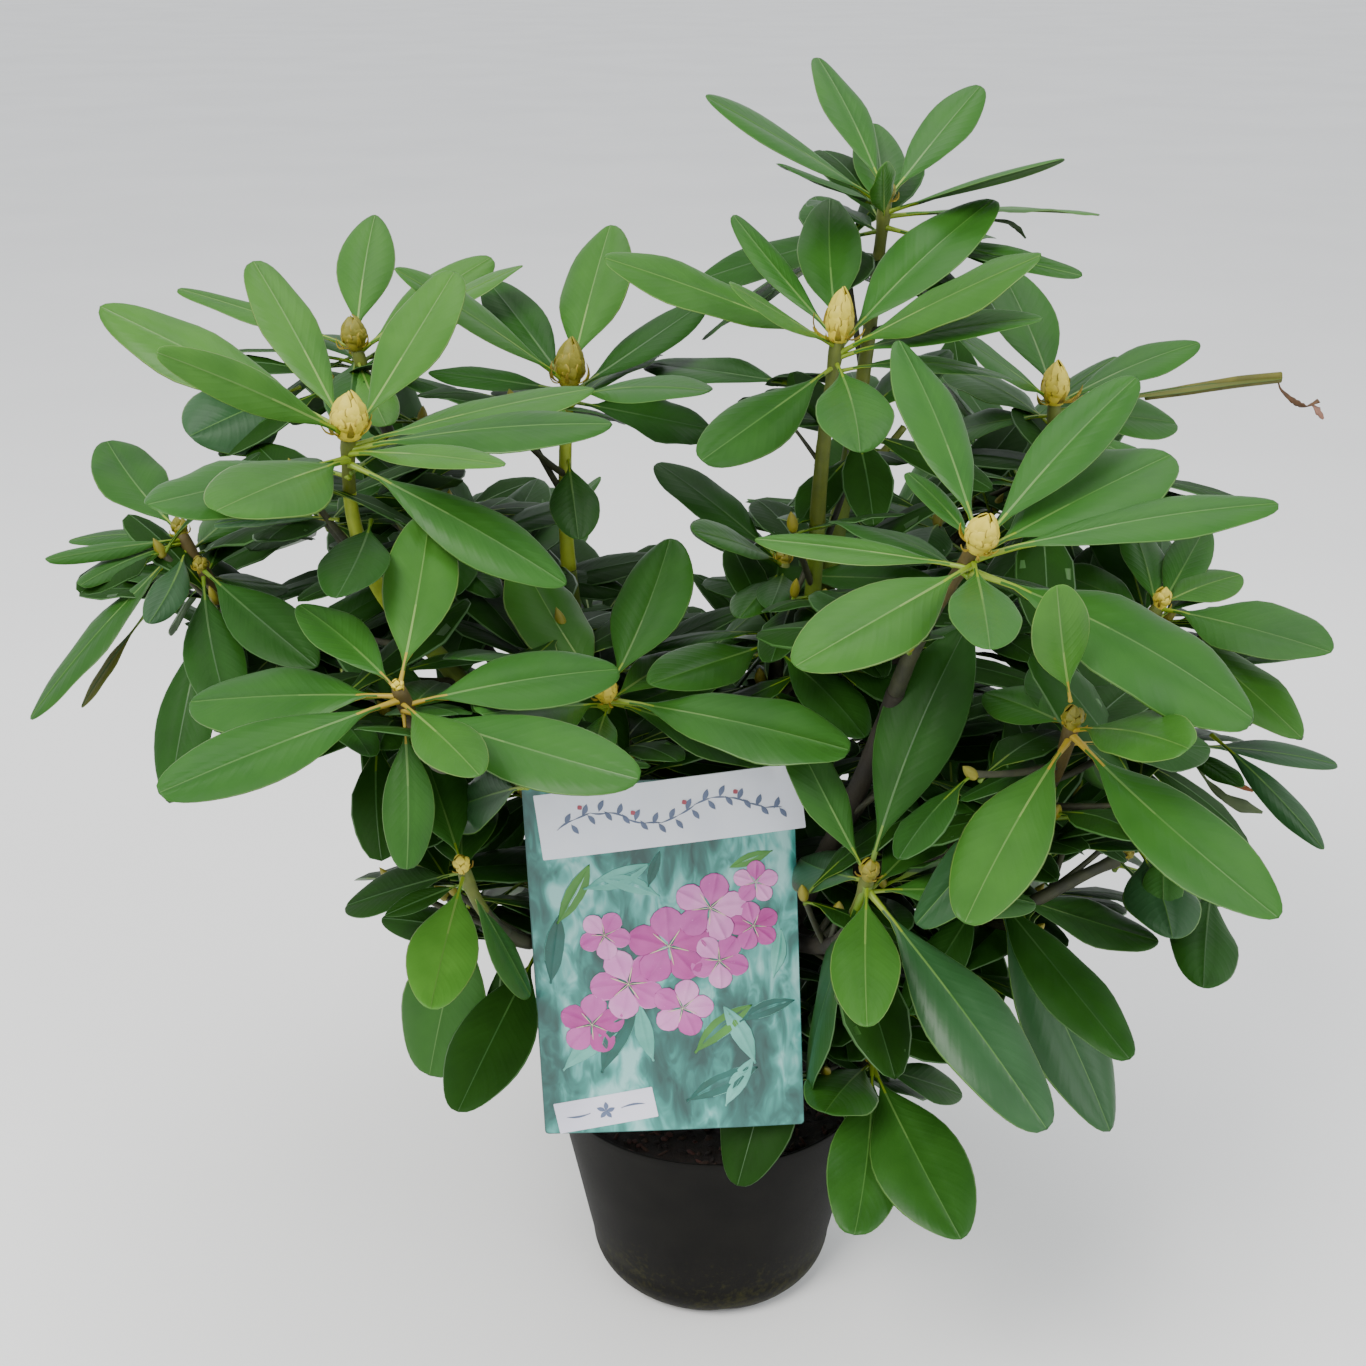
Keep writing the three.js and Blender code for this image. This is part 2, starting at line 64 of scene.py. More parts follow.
def triple(*values):
    return np.array(values, float)


# A direction from its azimuth and rise in degrees; azimuth 0 is +X and 90 is +Y.
def direction(azimuth, rise):
    a, e = math.radians(azimuth), math.radians(rise)
    return triple(math.cos(a) * math.cos(e), math.sin(a) * math.cos(e), math.sin(e))


# The two ends of a pair, blended by a share.
def between(pair, share):
    return pair[0] + (pair[1] - pair[0]) * share


# The point (a, b) turned by the angle of cosine c and sine s, then moved by x and y.
def rotate(a, b, c, s, x=0, y=0):
    return x + a * c - b * s, y + a * s + b * c


def fullTurn(count):
    return np.linspace(0, 2 * math.pi, count, endpoint=False)


# A small repeatable random number between 0 and 1: state = (state · factor + step) mod span.
series = {"factor": 1664525, "step": 1013904223, "span": 4294967296}


def seeded(seed):
    state = seed

    def draw():
        nonlocal state
        state = (state * series["factor"] + series["step"]) % series["span"]
        return state / series["span"]
    return draw


hashing = {
    "axes": (73856093, 19349663, 83492791), "seed": 2654435, "again": (40503, 30011), "mask": 0xFFFFFFF,
}


# Lattice noise from 0 to 1: hashed corner values, blended along each axis by 3f² - 2f³.
def lumps(points, cell, seed=0):
    spot = np.asarray(points, float) / cell + 1000
    base = np.floor(spot).astype(np.int64)
    f = spot - base
    f = f * f * (3 - 2 * f)
    total = 0
    for corner in range(8):
        step = np.array([corner & 1, corner >> 1 & 1, corner >> 2])
        x, y, z = (axis * prime for axis, prime in zip(np.moveaxis(base + step, -1, 0), hashing["axes"]))
        value = (x ^ y ^ z ^ (seed + 1) * hashing["seed"]) & hashing["mask"]
        for shift, factor in zip((11, 7), hashing["again"]):
            value = (value ^ value >> shift) * factor & hashing["mask"]
        total = total + (value >> 8 & 0xFFFF) / 65535 * np.prod(np.where(step, f, 1 - f), axis=-1)
    return total


# Heaps of surfaces, which become one mesh each.

def newHeap():
    return {"points": [], "places": [], "faces": {3: [], 4: []}, "slots": {3: [], 4: []}, "count": 0}


# Adds a surface: points (n, 3), faces as arrays of 3 or 4 corners, a slot or a slot for each face.
def pour(heap, points, faces, places=None, slots=0):
    points = np.asarray(points, float).reshape(-1, 3)
    places = np.zeros((len(points), 2)) if places is None else np.asarray(places, float).reshape(-1, 2)
    heap["points"].append(points)
    heap["places"].append(places)
    for k, corners in enumerate(faces):
        if len(corners):
            kind = corners.shape[1]
            chosen = slots[k] if isinstance(slots, (list, tuple)) else slots
            heap["faces"][kind].append(corners + heap["count"])
            heap["slots"][kind].append(np.broadcast_to(chosen, len(corners)))
    heap["count"] += len(points)


# Puts a heap into a mesh with foreach_set, dresses it, and hides the frame's nodes that it stands for.
def makePiece(name, heap, materials, nodes=(), smooth=True):
    points = np.concatenate(heap["points"]) * millimetre
    places = np.concatenate(heap["places"])
    corners, starts, slots, at = [], [], [], 0
    for kind in (3, 4):
        if heap["faces"][kind]:
            faces = np.concatenate(heap["faces"][kind])
            corners.append(faces.ravel())
            starts.append(at + kind * np.arange(len(faces)))
            slots.append(np.concatenate(heap["slots"][kind]))
            at += faces.size
    corners, starts, slots = (np.concatenate(part) for part in (corners, starts, slots))
    mesh = bpy.data.meshes.new(name)
    mesh.vertices.add(len(points))
    mesh.vertices.foreach_set("co", points.astype(np.float32).ravel())
    mesh.loops.add(len(corners))
    mesh.loops.foreach_set("vertex_index", corners.astype(np.int32))
    mesh.polygons.add(len(starts))
    mesh.polygons.foreach_set("loop_start", starts.astype(np.int32))
    mesh.polygons.foreach_set("material_index", slots.astype(np.int32))
    mesh.polygons.foreach_set("use_smooth", np.full(len(starts), smooth))
    layer = mesh.uv_layers.new(name="place")
    layer.uv.foreach_set("vector", places[corners].astype(np.float32).ravel())
    for material in materials:
        mesh.materials.append(material)
    mesh.update(calc_edges=True)
    mesh.validate()
    piece = bpy.data.objects.new(name, mesh)
    bpy.context.scene.collection.objects.link(piece)
    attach(piece, "root")
    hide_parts(*nodes)
    print("piece", name, "with", len(starts), "faces")
    return piece


# Quads of a grid of rows by columns, which faces the side that row step × column step points to.
def gridFaces(rows, columns, closed=False, start=0):
    i, k = np.meshgrid(np.arange(rows - 1), np.arange(columns if closed else columns - 1), indexing="ij")
    after = (k + 1) % columns
    row, below = i * columns, (i + 1) * columns
    return np.stack([row + k, below + k, below + after, row + after], -1).reshape(-1, 4) + start


# Triangles that close a ring of points to one point; turned sends them the other way.
def fanFaces(ring, centre, turned=False):
    after = np.roll(ring, -1)
    first, second = (after, ring) if turned else (ring, after)
    return np.stack([first, np.full(len(ring), centre), second], -1)


# Curves and tubes.

# How far along each point of a path lies.
def runOf(path):
    return np.concatenate([[0], np.cumsum(np.linalg.norm(np.diff(path, axis=0), axis=1))])


# p(s) = (1-s)² start + 2s(1-s) bend + s² end, with its run measured in 200 steps.
def quadratic(start, bend, end):
    s = np.linspace(0, 1, 201)[:, None]
    points = (1 - s) ** 2 * start + 2 * s * (1 - s) * bend + s ** 2 * end
    run = runOf(points)
    return {"ends": (start, bend, end), "run": run / run[-1], "length": run[-1]}


def stepAlong(curve, share):
    return np.asarray(np.interp(share, curve["run"], np.linspace(0, 1, 201)))[..., None]


def placeAlong(curve, share):
    s = stepAlong(curve, share)
    start, bend, end = curve["ends"]
    return (1 - s) ** 2 * start + 2 * s * (1 - s) * bend + s * s * end


def headingAlong(curve, share):
    s = stepAlong(curve, share)
    start, bend, end = curve["ends"]
    return unit((1 - s) * (bend - start) + s * (end - bend))


# Two directions across a path at each of its points: one steady reference, squared to the path.
def crossways(path):
    heading = unit(np.gradient(path, axis=0))
    chord = unit(path[-1] - path[0])
    helper = triple(0, 0, 1) if abs(chord[2]) < 0.9 else triple(0, 1, 0)
    across = unit(np.cross(chord, helper))
    side = unit(across - heading * (heading @ across)[:, None])
    return side, np.cross(heading, side)


# The directions from a path to its skin: cos angle · side + sin angle · up.
def spokes(path, angle):
    side, up = crossways(path)
    return np.cos(angle)[None, :, None] * side[:, None] + np.sin(angle)[None, :, None] * up[:, None]


# A tube: path(u) + radius(u, angle) · (cos angle · side + sin angle · up), its ends closed to points.
def tube(path, radii, sides, capRise=0.3):
    angle = fullTurn(sides)
    radii = np.broadcast_to(np.asarray(radii, float).reshape(len(path), -1), (len(path), sides))
    rings = path[:, None] + radii[..., None] * spokes(path, angle)
    foot = path[0] - unit(path[1] - path[0]) * capRise * radii[0].mean()
    tip = path[-1] + unit(path[-1] - path[-2]) * capRise * radii[-1].mean()
    points = np.concatenate([rings.reshape(-1, 3), [foot, tip]])
    count = len(path) * sides
    quads = gridFaces(len(path), sides, closed=True)[:, ::-1]
    first, last = np.arange(sides), np.arange(count - sides, count)
    tris = np.concatenate([fanFaces(first, count), fanFaces(last, count + 1, turned=True)])
    run = runOf(path)
    places = np.stack(np.broadcast_arrays(run[:, None] / 10, angle[None] / (2 * math.pi)), -1).reshape(-1, 2)
    places = np.concatenate([places, [[0, 0], [run[-1] / 10, 0]]])
    return points, [quads, tris], places


# Materials: helpers, then the effects they share as node groups.

def linear(code):
    parts = np.array([int(code[i:i + 2], 16) for i in (1, 3, 5)]) / 255
    parts = np.where(parts <= 0.04045, parts / 12.92, ((parts + 0.055) / 1.055) ** 2.4)
    return (*(float(part) for part in parts), 1.0)


def feed(tree, socket, value):
    if isinstance(value, bpy.types.NodeSocket):
        tree.links.new(value, socket)
    else:
        socket.default_value = value


# A shader node: its settings, then its inputs, each a value or the socket that feeds it.
def addNode(tree, kind, inputs=None, **settings):
    node = tree.nodes.new("ShaderNode" + kind)
    for key, value in settings.items():
        setattr(node, key, value)
    for key, value in (inputs or {}).items():
        feed(tree, node.inputs[key], value)
    return node


def maths(tree, operation, *values):
    return addNode(tree, "Math", dict(enumerate(values)), operation=operation).outputs[0]


# Where value lies between low and high, as a share of top.
def remap(tree, value, low, high, top=1.0):
    inputs = {"Value": value, "From Min": low, "From Max": high, "To Max": top}
    return addNode(tree, "MapRange", inputs).outputs["Result"]


def mixed(tree, share, first, second):
    inputs = {"Factor": share, "A": first, "B": second}
    return addNode(tree, "Mix", inputs, data_type="RGBA").outputs["Result"]


def noise(tree, place, scale, detail, **more):
    inputs = {"Vector": place, "Scale": scale, "Detail": detail, **more}
    return addNode(tree, "TexNoise", inputs).outputs["Fac"]


def joinBump(tree, shader, height, depth):
    bump = addNode(tree, "Bump", {"Strength": 1.0, "Distance": depth * millimetre, "Height": height})
    feed(tree, shader.inputs["Normal"], bump.outputs["Normal"])


# A node group that puts out a colour, a roughness and a height.
def newGroup(name, inputs):
    group = bpy.data.node_groups.new(name, "ShaderNodeTree")
    for label, value in inputs.items():
        kind = "NodeSocketColor" if isinstance(value, tuple) else "NodeSocketFloat"
        group.interface.new_socket(label, in_out="INPUT", socket_type=kind).default_value = value
    for label, kind in (("Colour", "Color"), ("Roughness", "Float"), ("Height", "Float")):
        group.interface.new_socket(label, in_out="OUTPUT", socket_type="NodeSocket" + kind)
    given, out = group.nodes.new("NodeGroupInput").outputs, group.nodes.new("NodeGroupOutput").inputs
    return group, given, out


def newMaterial(name, colour, roughness, **values):
    material = bpy.data.materials.new(name)
    material.use_nodes = True
    tree = material.node_tree
    shader = tree.nodes["Principled BSDF"]
    for key, value in {"Base Color": linear(colour), "Roughness": roughness, **values}.items():
        shader.inputs[key].default_value = value
    return material, tree, shader


# Places a group in a material and joins it to the shader: its height goes through a bump node.
def dress(tree, shader, group, depth, values, colour=True):
    node = addNode(tree, "Group", node_tree=group)
    for key, value in values.items():
        node.inputs[key].default_value = value
    for label, socket in (("Colour", "Base Color"), ("Roughness", "Roughness")):
        if colour or label != "Colour":
            feed(tree, shader.inputs[socket], node.outputs[label])
    joinBump(tree, shader, node.outputs["Height"], depth)
    return node


# Two colours mixed by soft noise and flecked with a third; roughness and height follow the noise.
def mottleGroup():
    group, given, out = newGroup("mottle", {
        "First": (0.5, 0.5, 0.5, 1), "Second": (0.3, 0.3, 0.3, 1), "Fleck": (0.8, 0.8, 0.8, 1),
        "Scale": 100.0, "Fine scale": 900.0, "Fleck share": 0.1, "Smooth": 0.5, "Spread": 0.2})
    place = addNode(group, "TexCoord").outputs["Object"]
    broad = noise(group, place, given["Scale"], 4.0)
    fine = noise(group, place, given["Fine scale"], 3.0)
    base = mixed(group, remap(group, broad, 0.35, 0.65), given["First"], given["Second"])
    flecks = remap(group, fine, maths(group, "SUBTRACT", 0.8, given["Fleck share"]), 0.8)
    feed(group, out["Colour"], mixed(group, flecks, base, given["Fleck"]))
    feed(group, out["Roughness"], maths(group, "MULTIPLY_ADD", fine, given["Spread"], given["Smooth"]))
    feed(group, out["Height"], maths(group, "MULTIPLY_ADD", fine, 0.6, broad))
    return group


veinArcs = {"count": 88.0, "bow": 0.42}


# A leaf's face: veins that leave the midrib in arcs, sin(count · (u - bow · |v|)), over fine skin
# noise. u runs from stalk to tip and v is the distance from the midrib, both from the place map.
def leafFaceGroup():
    group, given, out = newGroup("leafFace", {
        "First": (0.1, 0.3, 0.1, 1), "Second": (0.15, 0.35, 0.1, 1), "Vein depth": 0.5, "Smooth": 0.4,
        "Spread": 0.2})
    place = addNode(group, "TexCoord").outputs
    broad = noise(group, place["Object"], 38.0, 3.0)
    skin = noise(group, place["Object"], 420.0, 2.0)
    mapped = addNode(group, "SeparateXYZ", {0: place["UV"]}).outputs
    apart = maths(group, "ABSOLUTE", maths(group, "SUBTRACT", mapped["Y"], 0.5))
    bowed = maths(group, "MULTIPLY_ADD", apart, -veinArcs["bow"], mapped["X"])
    wave = maths(group, "SINE", maths(group, "MULTIPLY", bowed, veinArcs["count"]))
    veins = maths(group, "MULTIPLY", remap(group, wave, 0.1, 1.0), given["Vein depth"])
    blend = remap(group, broad, 0.32, 0.7)
    feed(group, out["Colour"], mixed(group, blend, given["First"], given["Second"]))
    feed(group, out["Roughness"], maths(group, "MULTIPLY_ADD", broad, given["Spread"], given["Smooth"]))
    feed(group, out["Height"], maths(group, "MULTIPLY_ADD", skin, 0.5, veins))
    return group


mottle = mottleGroup()
leafFace = leafFaceGroup()


def mottleValues(colours, scales, smooth, spread, fleckShare):
    return {**dict(zip(("First", "Second", "Fleck"), map(linear, colours))), "Scale": scales[0],
            "Fine scale": scales[1], "Fleck share": fleckShare, "Smooth": smooth, "Spread": spread}


def mottled(name, colours, scales, depth, smooth, spread=0.2, fleckShare=0.1, **values):
    material, tree, shader = newMaterial(name, colours[0], smooth, **values)
    dress(tree, shader, mottle, depth, mottleValues(colours, scales, smooth, spread, fleckShare))
    return material


def leafy(name, colours, veinDepth, smooth, spread=0.25, depth=0.12, **values):
    material, tree, shader = newMaterial(name, colours[0], smooth, **values)
    dress(tree, shader, leafFace, depth, {
        "First": linear(colours[0]), "Second": linear(colours[-1]), "Vein depth": veinDepth,
        "Smooth": smooth, "Spread": spread}, colour=len(colours) > 1)
    return material


print("effects ready")


# The plant's rule: boughs, whorls and leaves that keep clear of each other.

trunk = {
    "foot": triple(4, 6, 130.3), "bend": triple(4, 6, 167.65), "top": triple(0, 10, 205),
    "footRadius": 13, "topRadius": 9.5, "flare": 9, "flareHeight": 14, "lobes": 5, "soil": 130,
}

# Each bough: its parent, the place along it, its bend, its tip, and its foot and tip radius.
boughTable = {
    "west_high": ["trunk", 0.8, [-70, -20, 330], [-165, -90, 480], [8, 4.6]],
    "centre_left": ["trunk", 0.95, [-75, 5, 330], [-84, 0, 478], [7, 4.6]],
    "crown_top": ["trunk", 0.97, [55, 20, 360], [80, 24, 560], [8.5, 4.8]],
    "far_east": ["trunk", 0.75, [110, 20, 280], [212, 5, 385], [7.5, 4.4]],
    "front_east": ["trunk", 0.62, [62, -55, 290], [88, -150, 465], [8, 4.6]],
    "back_west": ["trunk", 0.7, [-70, 70, 290], [-155, 120, 395], [7, 4.4]],
    "back_east": ["trunk", 0.85, [55, 75, 300], [135, 135, 410], [7, 4.4]],
    "back_low": ["trunk", 0.5, [0, 65, 240], [-5, 125, 300], [6, 4.2]],
    "low_east": ["trunk", 0.4, [45, -25, 190], [72, -58, 192], [5.5, 4]],
    "far_west": ["west_high", 0.62, [-150, -35, 400], [-225, -30, 425], [5.5, 4.2]],
    "front_west": ["west_high", 0.48, [-130, -75, 405], [-136, -165, 432], [5.5, 4.2]],
    "low_west": ["west_high", 0.2, [-70, -40, 255], [-105, -88, 285], [5, 4]],
    "west_back": ["centre_left", 0.45, [-105, 30, 430], [-165, 50, 500], [5.5, 4.2]],
    "front_centre": ["centre_left", 0.3, [-50, -25, 345], [-52, -62, 402], [5.5, 4.2]],
    "crown_front": ["crown_top", 0.4, [55, -20, 430], [54, -48, 520], [5.8, 4.4]],
    "inner": ["crown_top", 0.22, [25, 0, 330], [34, -8, 405], [5, 4]],
    "east_high": ["crown_top", 0.45, [110, 40, 400], [168, 52, 460], [5.8, 4.3]],
    "front_east_low": ["front_east", 0.5, [115, -115, 350], [145, -155, 390], [5.5, 4.2]],
    "low_centre": ["front_east", 0.3, [60, -75, 270], [66, -130, 310], [5.5, 4.2]],
    "low_far_east": ["far_east", 0.35, [100, -20, 250], [140, -62, 265], [5, 4]],
}

# A shoot: the place of its whorl, its bud (radius, height), and its leaves as [azimuth, rise, length],
# with a share of the turn to the light and a width share where they differ. More leaves are grown by
# rule: "behind" on the far side and "ring" all round.
def whorl(at, bud, behind=0, leaves=(), ring=0):
    return {"at": at, "bud": bud, "behind": behind, "ring": ring, "leaves": leaves}


# Each mass grows from the bough of its name.
massTable = {
    "west_high": [whorl((-180, -130, 593), (8.3, 22), 2, [[165, 20, 140], [235, 30, 120, 0.2],
            [130, 40, 110], [60, 35, 110], [20, 5, 125, 0.1], [355, 5, 130, 0.05], [315, 5, 110],
            [225, -5, 110], [245, -5, 105], [340, -30, 130], [265, -35, 100], [165, -40, 90]])],
    "west_back": [whorl((-208, 60, 595), (6.8, 18), 2, [[90, 35, 105], [170, 15, 110], [355, 25, 110],
            [45, 20, 110], [230, -10, 90], [290, -20, 85]])],
    "centre_left": [whorl((-81, 0, 588), (7.6, 25), 2, [[75, 40, 110], [210, 35, 120], [120, 20, 110],
            [145, -5, 105], [45, 15, 110], [320, 5, 100], [30, -25, 105], [255, -5, 105],
            [275, -40, 100]])],
    "far_west": [whorl((-298, -20, 507), (4, 10), 2, [[125, 15, 100], [145, -10, 90], [240, 10, 95],
            [250, 0, 90], [200, -45, 135], [270, -10, 95], [190, -60, 110], [75, -5, 95]]),
        whorl((-283, -40, 493), (3.5, 8), 2, [[320, -10, 110], [250, -65, 120], [255, -25, 100],
            [70, -25, 90], [120, -40, 95]])],
    "front_west": [whorl((-149, -220, 496), (2.4, 5), 1, [[85, 35, 100], [135, 15, 80], [165, -10, 110],
            [225, -5, 125], [300, -5, 90], [25, -5, 110], [335, -10, 125], [285, -75, 100]])],
    "front_centre": [whorl((-58, -130, 455), (5.5, 16), 2, [[70, 30, 110], [125, 20, 100], [340, -5, 130],
            [15, -35, 120], [60, -5, 85], [240, 15, 110], [265, -10, 60]])],
    "low_west": [whorl((-136, -130, 355), (4, 9), 2, [[110, 20, 95], [155, -30, 90], [265, -15, 100],
            [30, -65, 95], [85, 5, 90], [200, 5, 90]]),
        whorl((-122, -70, 279), (3.5, 8), 2, [[255, -15, 110], [215, -65, 120, 0.9, 0.4], [145, -15, 105],
            [270, -60, 100]])],
    "crown_top": [whorl((91, 20, 683), (4.5, 11), 2, [[115, 40, 105], [50, 30, 105], [205, 30, 120, 0.3],
            [230, 15, 95, 0.1], [325, 15, 105, 0.05], [5, -5, 120, 0.05], [265, 35, 45], [90, 20, 90],
            [300, -25, 80], [165, -20, 95]])],
    "crown_front": [whorl((61, -60, 625), (6.5, 26), 2, [[90, 35, 100], [125, 30, 100], [195, 20, 130],
            [220, 25, 75], [35, 30, 120], [325, 25, 120], [330, 10, 110], [275, -20, 100], [225, -25, 110],
            [135, -5, 105]])],
    "east_high": [whorl((199, 60, 563), (7.5, 24), 2, [[105, 35, 105], [215, 30, 95], [20, 15, 100, 0.25],
            [25, -15, 95], [5, 5, 135, 0.05], [135, -25, 105], [265, -30, 90], [310, -20, 85]])],
    "front_east": [whorl((113, -220, 565), (6.8, 18), 2, [[110, 40, 115], [115, 15, 65], [40, 30, 120],
            [30, 10, 120], [5, 5, 140, 0.25], [265, -10, 90], [220, -15, 115], [160, -5, 105, 0.25],
            [350, -30, 145]])],
    "far_east": [whorl((257, 0, 457), (4.5, 12), 2, [[35, 0, 70], [310, 0, 110], [60, 15, 90], [90, 15, 90],
            [300, -20, 120], [120, -5, 100]]),
        whorl((286, 10, 363), (3.5, 8), 2, [[15, -15, 110], [295, -10, 110], [285, 0, 60]])],
    "front_east_low": [whorl((166, -200, 470), (4.5, 11), 2, [[85, 25, 90], [115, -30, 100], [300, 15, 80],
            [300, -15, 140], [235, -30, 120], [190, -55, 125], [30, -20, 100]])],
    "low_centre": [whorl((75, -180, 378), (4.5, 11), 2, [[40, 65, 130], [110, 10, 105], [120, -15, 70],
            [195, -70, 125], [265, -20, 95], [310, -35, 150], [20, -20, 105]])],
    "low_east": [whorl((92, -90, 207), (3.5, 8), 2, [[260, -25, 110], [290, -20, 120], [245, 10, 80],
            [30, -35, 85]]),
        whorl((44, -58, 226), (3, 7), 1, [[240, -55, 110, 0.3, 0.3]])],
    "inner": [whorl((39, 0, 483), (4, 10), 2, [[135, 20, 110], [230, 25, 90], [250, -5, 80], [270, 0, 80],
            [25, 0, 95]]),
        whorl((30, -45, 450), (3.5, 8), 1, [[235, 0, 115], [105, -40, 100], [300, -20, 95],
            [180, -25, 100]])],
    "low_far_east": [whorl((150, -90, 326), (4, 9), 2, [[295, -15, 140], [305, -45, 150], [10, -25, 120],
            [230, -35, 90]]),
        whorl((235, -60, 325), (3.5, 8), 2, [[285, -20, 105], [255, -15, 85], [320, -35, 90],
            [20, -25, 95]])],
    "back_west": [whorl((-215, 165, 475), (4.5, 12), ring=7),
        whorl((-130, 190, 400), (4, 9), ring=7),
        whorl((-245, 110, 370), (4, 9), ring=6)],
    "back_east": [whorl((180, 170, 490), (5, 13), ring=7),
        whorl((110, 205, 420), (4, 9), ring=7),
        whorl((230, 120, 360), (4, 9), ring=6)],
    "back_low": [whorl((-10, 185, 345), (4, 9), ring=7),
        whorl((-95, 150, 270), (3.5, 8), ring=6),
        whorl((95, 150, 265), (3.5, 8), ring=6)],
}

leafRule = {
    "widths": (0.33, 0.385), "thickness": 0.022, "arch": 0.05, "turn": 0.45, "rootSpacing": 1.8,
    "stations": ((0, 0.06), (0.18, 0.09), (0.45, 0.95), (0.79, 0.84)), "bladeStart": 0.4,
    "nudges": ((0, 0), (0, 7), (0, -7), (8, 0), (-8, 0), (8, 10), (-8, 10), (10, -12), (-10, -12), (0, 18)),
    "slim": 0.87, "seenArch": 0.018, "keepInside": 6,
    "wideNudges": (
        (25, 0), (-25, 0), (0, 30), (25, 20), (-25, 20), (45, 0), (-45, 0), (0, -25), (60, 20), (-60, 20)),
}
frontLight = direction(270, 35)
topLight = direction(0, 90)

card = {
    "centre": triple(-28, -98, 280), "lean": 8, "turn": 2.5, "size": (150, 212), "thickness": 1.2,
    "band": ((147, 38), (6, 87), 5), "tab": ((58, 19), (-39, -92), 9), "lift": 0.3,
}
stake = {"width": 8, "thickness": 3, "foot": (-30, -50), "knee": 270, "top": 335}

leanTurn = math.radians(card["lean"])
swingTurn = math.radians(card["turn"])
cardAxes = np.array([
    [math.cos(swingTurn), 0, math.sin(swingTurn)],
    [0, 1, 0],
    [-math.sin(swingTurn), 0, math.cos(swingTurn)],
]) @ np.array([
    [1, 0, 0],
    [0, math.cos(leanTurn), -math.sin(leanTurn)],
    [0, math.sin(leanTurn), math.cos(leanTurn)],
])


# From the card's own x, y and z to the plant's: turned about its upright, leaned back, then moved.
def onCard(points):
    return np.asarray(points, float) @ cardAxes + card["centre"]


# The faces of a body of rings, closed flat or to a point.
def bodyFaces(count, sides, pointed):
    last = (count - 1) * sides
    faces = [(row + k, row + (k + 1) % sides, row + sides + (k + 1) % sides, row + sides + k)
             for row in range(0, last, sides) for k in range(sides)]
    if pointed:
        faces += [(last + k, last + (k + 1) % sides, last + sides) for k in range(sides)]
    else:
        faces.append(tuple(last + k for k in range(sides)))
    faces.append(tuple(range(sides)))
    return faces


def testBody(rings, owner, tip=None):
    count, sides = rings.shape[:2]
    points = rings.reshape(-1, 3)
    if tip is not None:
        points = np.concatenate([points, [tip]])
    faces = bodyFaces(count, sides, tip is not None)
    tree = BVHTree.FromPolygons(points.tolist(), faces)
    return {"tree": tree, "owner": owner, "low": points.min(0), "high": points.max(0),
            "points": points, "faces": faces}


def limbBody(curve, radii, sides, steps, owner):
    share = np.linspace(0, 1, steps + 1)
    path = placeAlong(curve, share)
    radius = np.interp(share, (0, 1), radii)
    return testBody(path[:, None] + radius[:, None, None] * spokes(path, fullTurn(sides)), owner)


def plateBody(size, thickness, middle, turn, front, owner):
    return testBody(onCard(plateCorners(size, middle, turn, (front, front + thickness))), owner)


def plateCorners(size, middle, turn, depths):
    a, b = np.array([(-1, -1), (1, -1), (1, 1), (-1, 1)]).T * np.array(size)[:, None] / 2
    c, s = math.cos(math.radians(turn)), math.sin(math.radians(turn))
    x, z = rotate(a, b, c, s, *middle)
    return np.stack([np.stack([x, np.full(4, y), z], -1) for y in depths])


# How far back the card's back lies at a height, with the stake's half thickness and the gap added.
def behindCard(height):
    middle = card["centre"][1] + (height - card["centre"][2]) * math.tan(leanTurn)
    return middle + card["thickness"] / 2 / math.cos(leanTurn) + gap + stake["thickness"] / 2


limbs = {"trunk": quadratic(trunk["foot"], trunk["bend"], trunk["top"])}
limbRadii = {"trunk": (trunk["footRadius"], trunk["topRadius"])}
obstacles = [limbBody(limbs["trunk"], (trunk["footRadius"] + gap, trunk["topRadius"] + gap), 10, 6, "trunk")]
for name, (parent, along, bend, tip, radii) in boughTable.items():
    limbs[name] = quadratic(placeAlong(limbs[parent], along), triple(*bend), triple(*tip))
    limbRadii[name] = radii
    obstacles.append(limbBody(limbs[name], (radii[0] + gap, radii[1] + gap), 6, 4, "bough_" + name))
cardFront = -card["thickness"] / 2
obstacles.append(plateBody(card["size"], card["thickness"], (0, 0), 0, cardFront, "label_card"))
bandFront = cardFront - card["lift"]
for name in ("band", "tab"):
    obstacles.append(plateBody(card[name][0], card["thickness"], *card[name][1:], bandFront, "label_card"))
stakePath = [(stake["foot"][1], trunk["soil"] + gap), (behindCard(stake["knee"]), stake["knee"]),
             (behindCard(stake["top"]), stake["top"])]
stakeCorners = np.array([(-1, -1), (1, -1), (1, 1), (-1, 1)]) * (stake["width"] / 2, stake["thickness"] / 2)
obstacles.append(testBody(np.array([
    [(stake["foot"][0] + i, y + k, z) for i, k in stakeCorners] for y, z in stakePath]), "label_stake"))


# The leaf's own directions: along from root to tip, side level and then rolled part way to the light.
def leafAxes(leaf):
    chord = leaf["tip"] - leaf["root"]
    along = unit(chord)
    level = unit(triple(-along[1], along[0], 0))
    above = np.cross(along, level)
    facing = math.atan2(-(leaf["light"] @ level), leaf["light"] @ above)
    roll = leaf["turn"] * facing + math.radians(leaf["roll"])
    side = level * math.cos(roll) + above * math.sin(roll)
    return chord, along, side, np.cross(along, side)


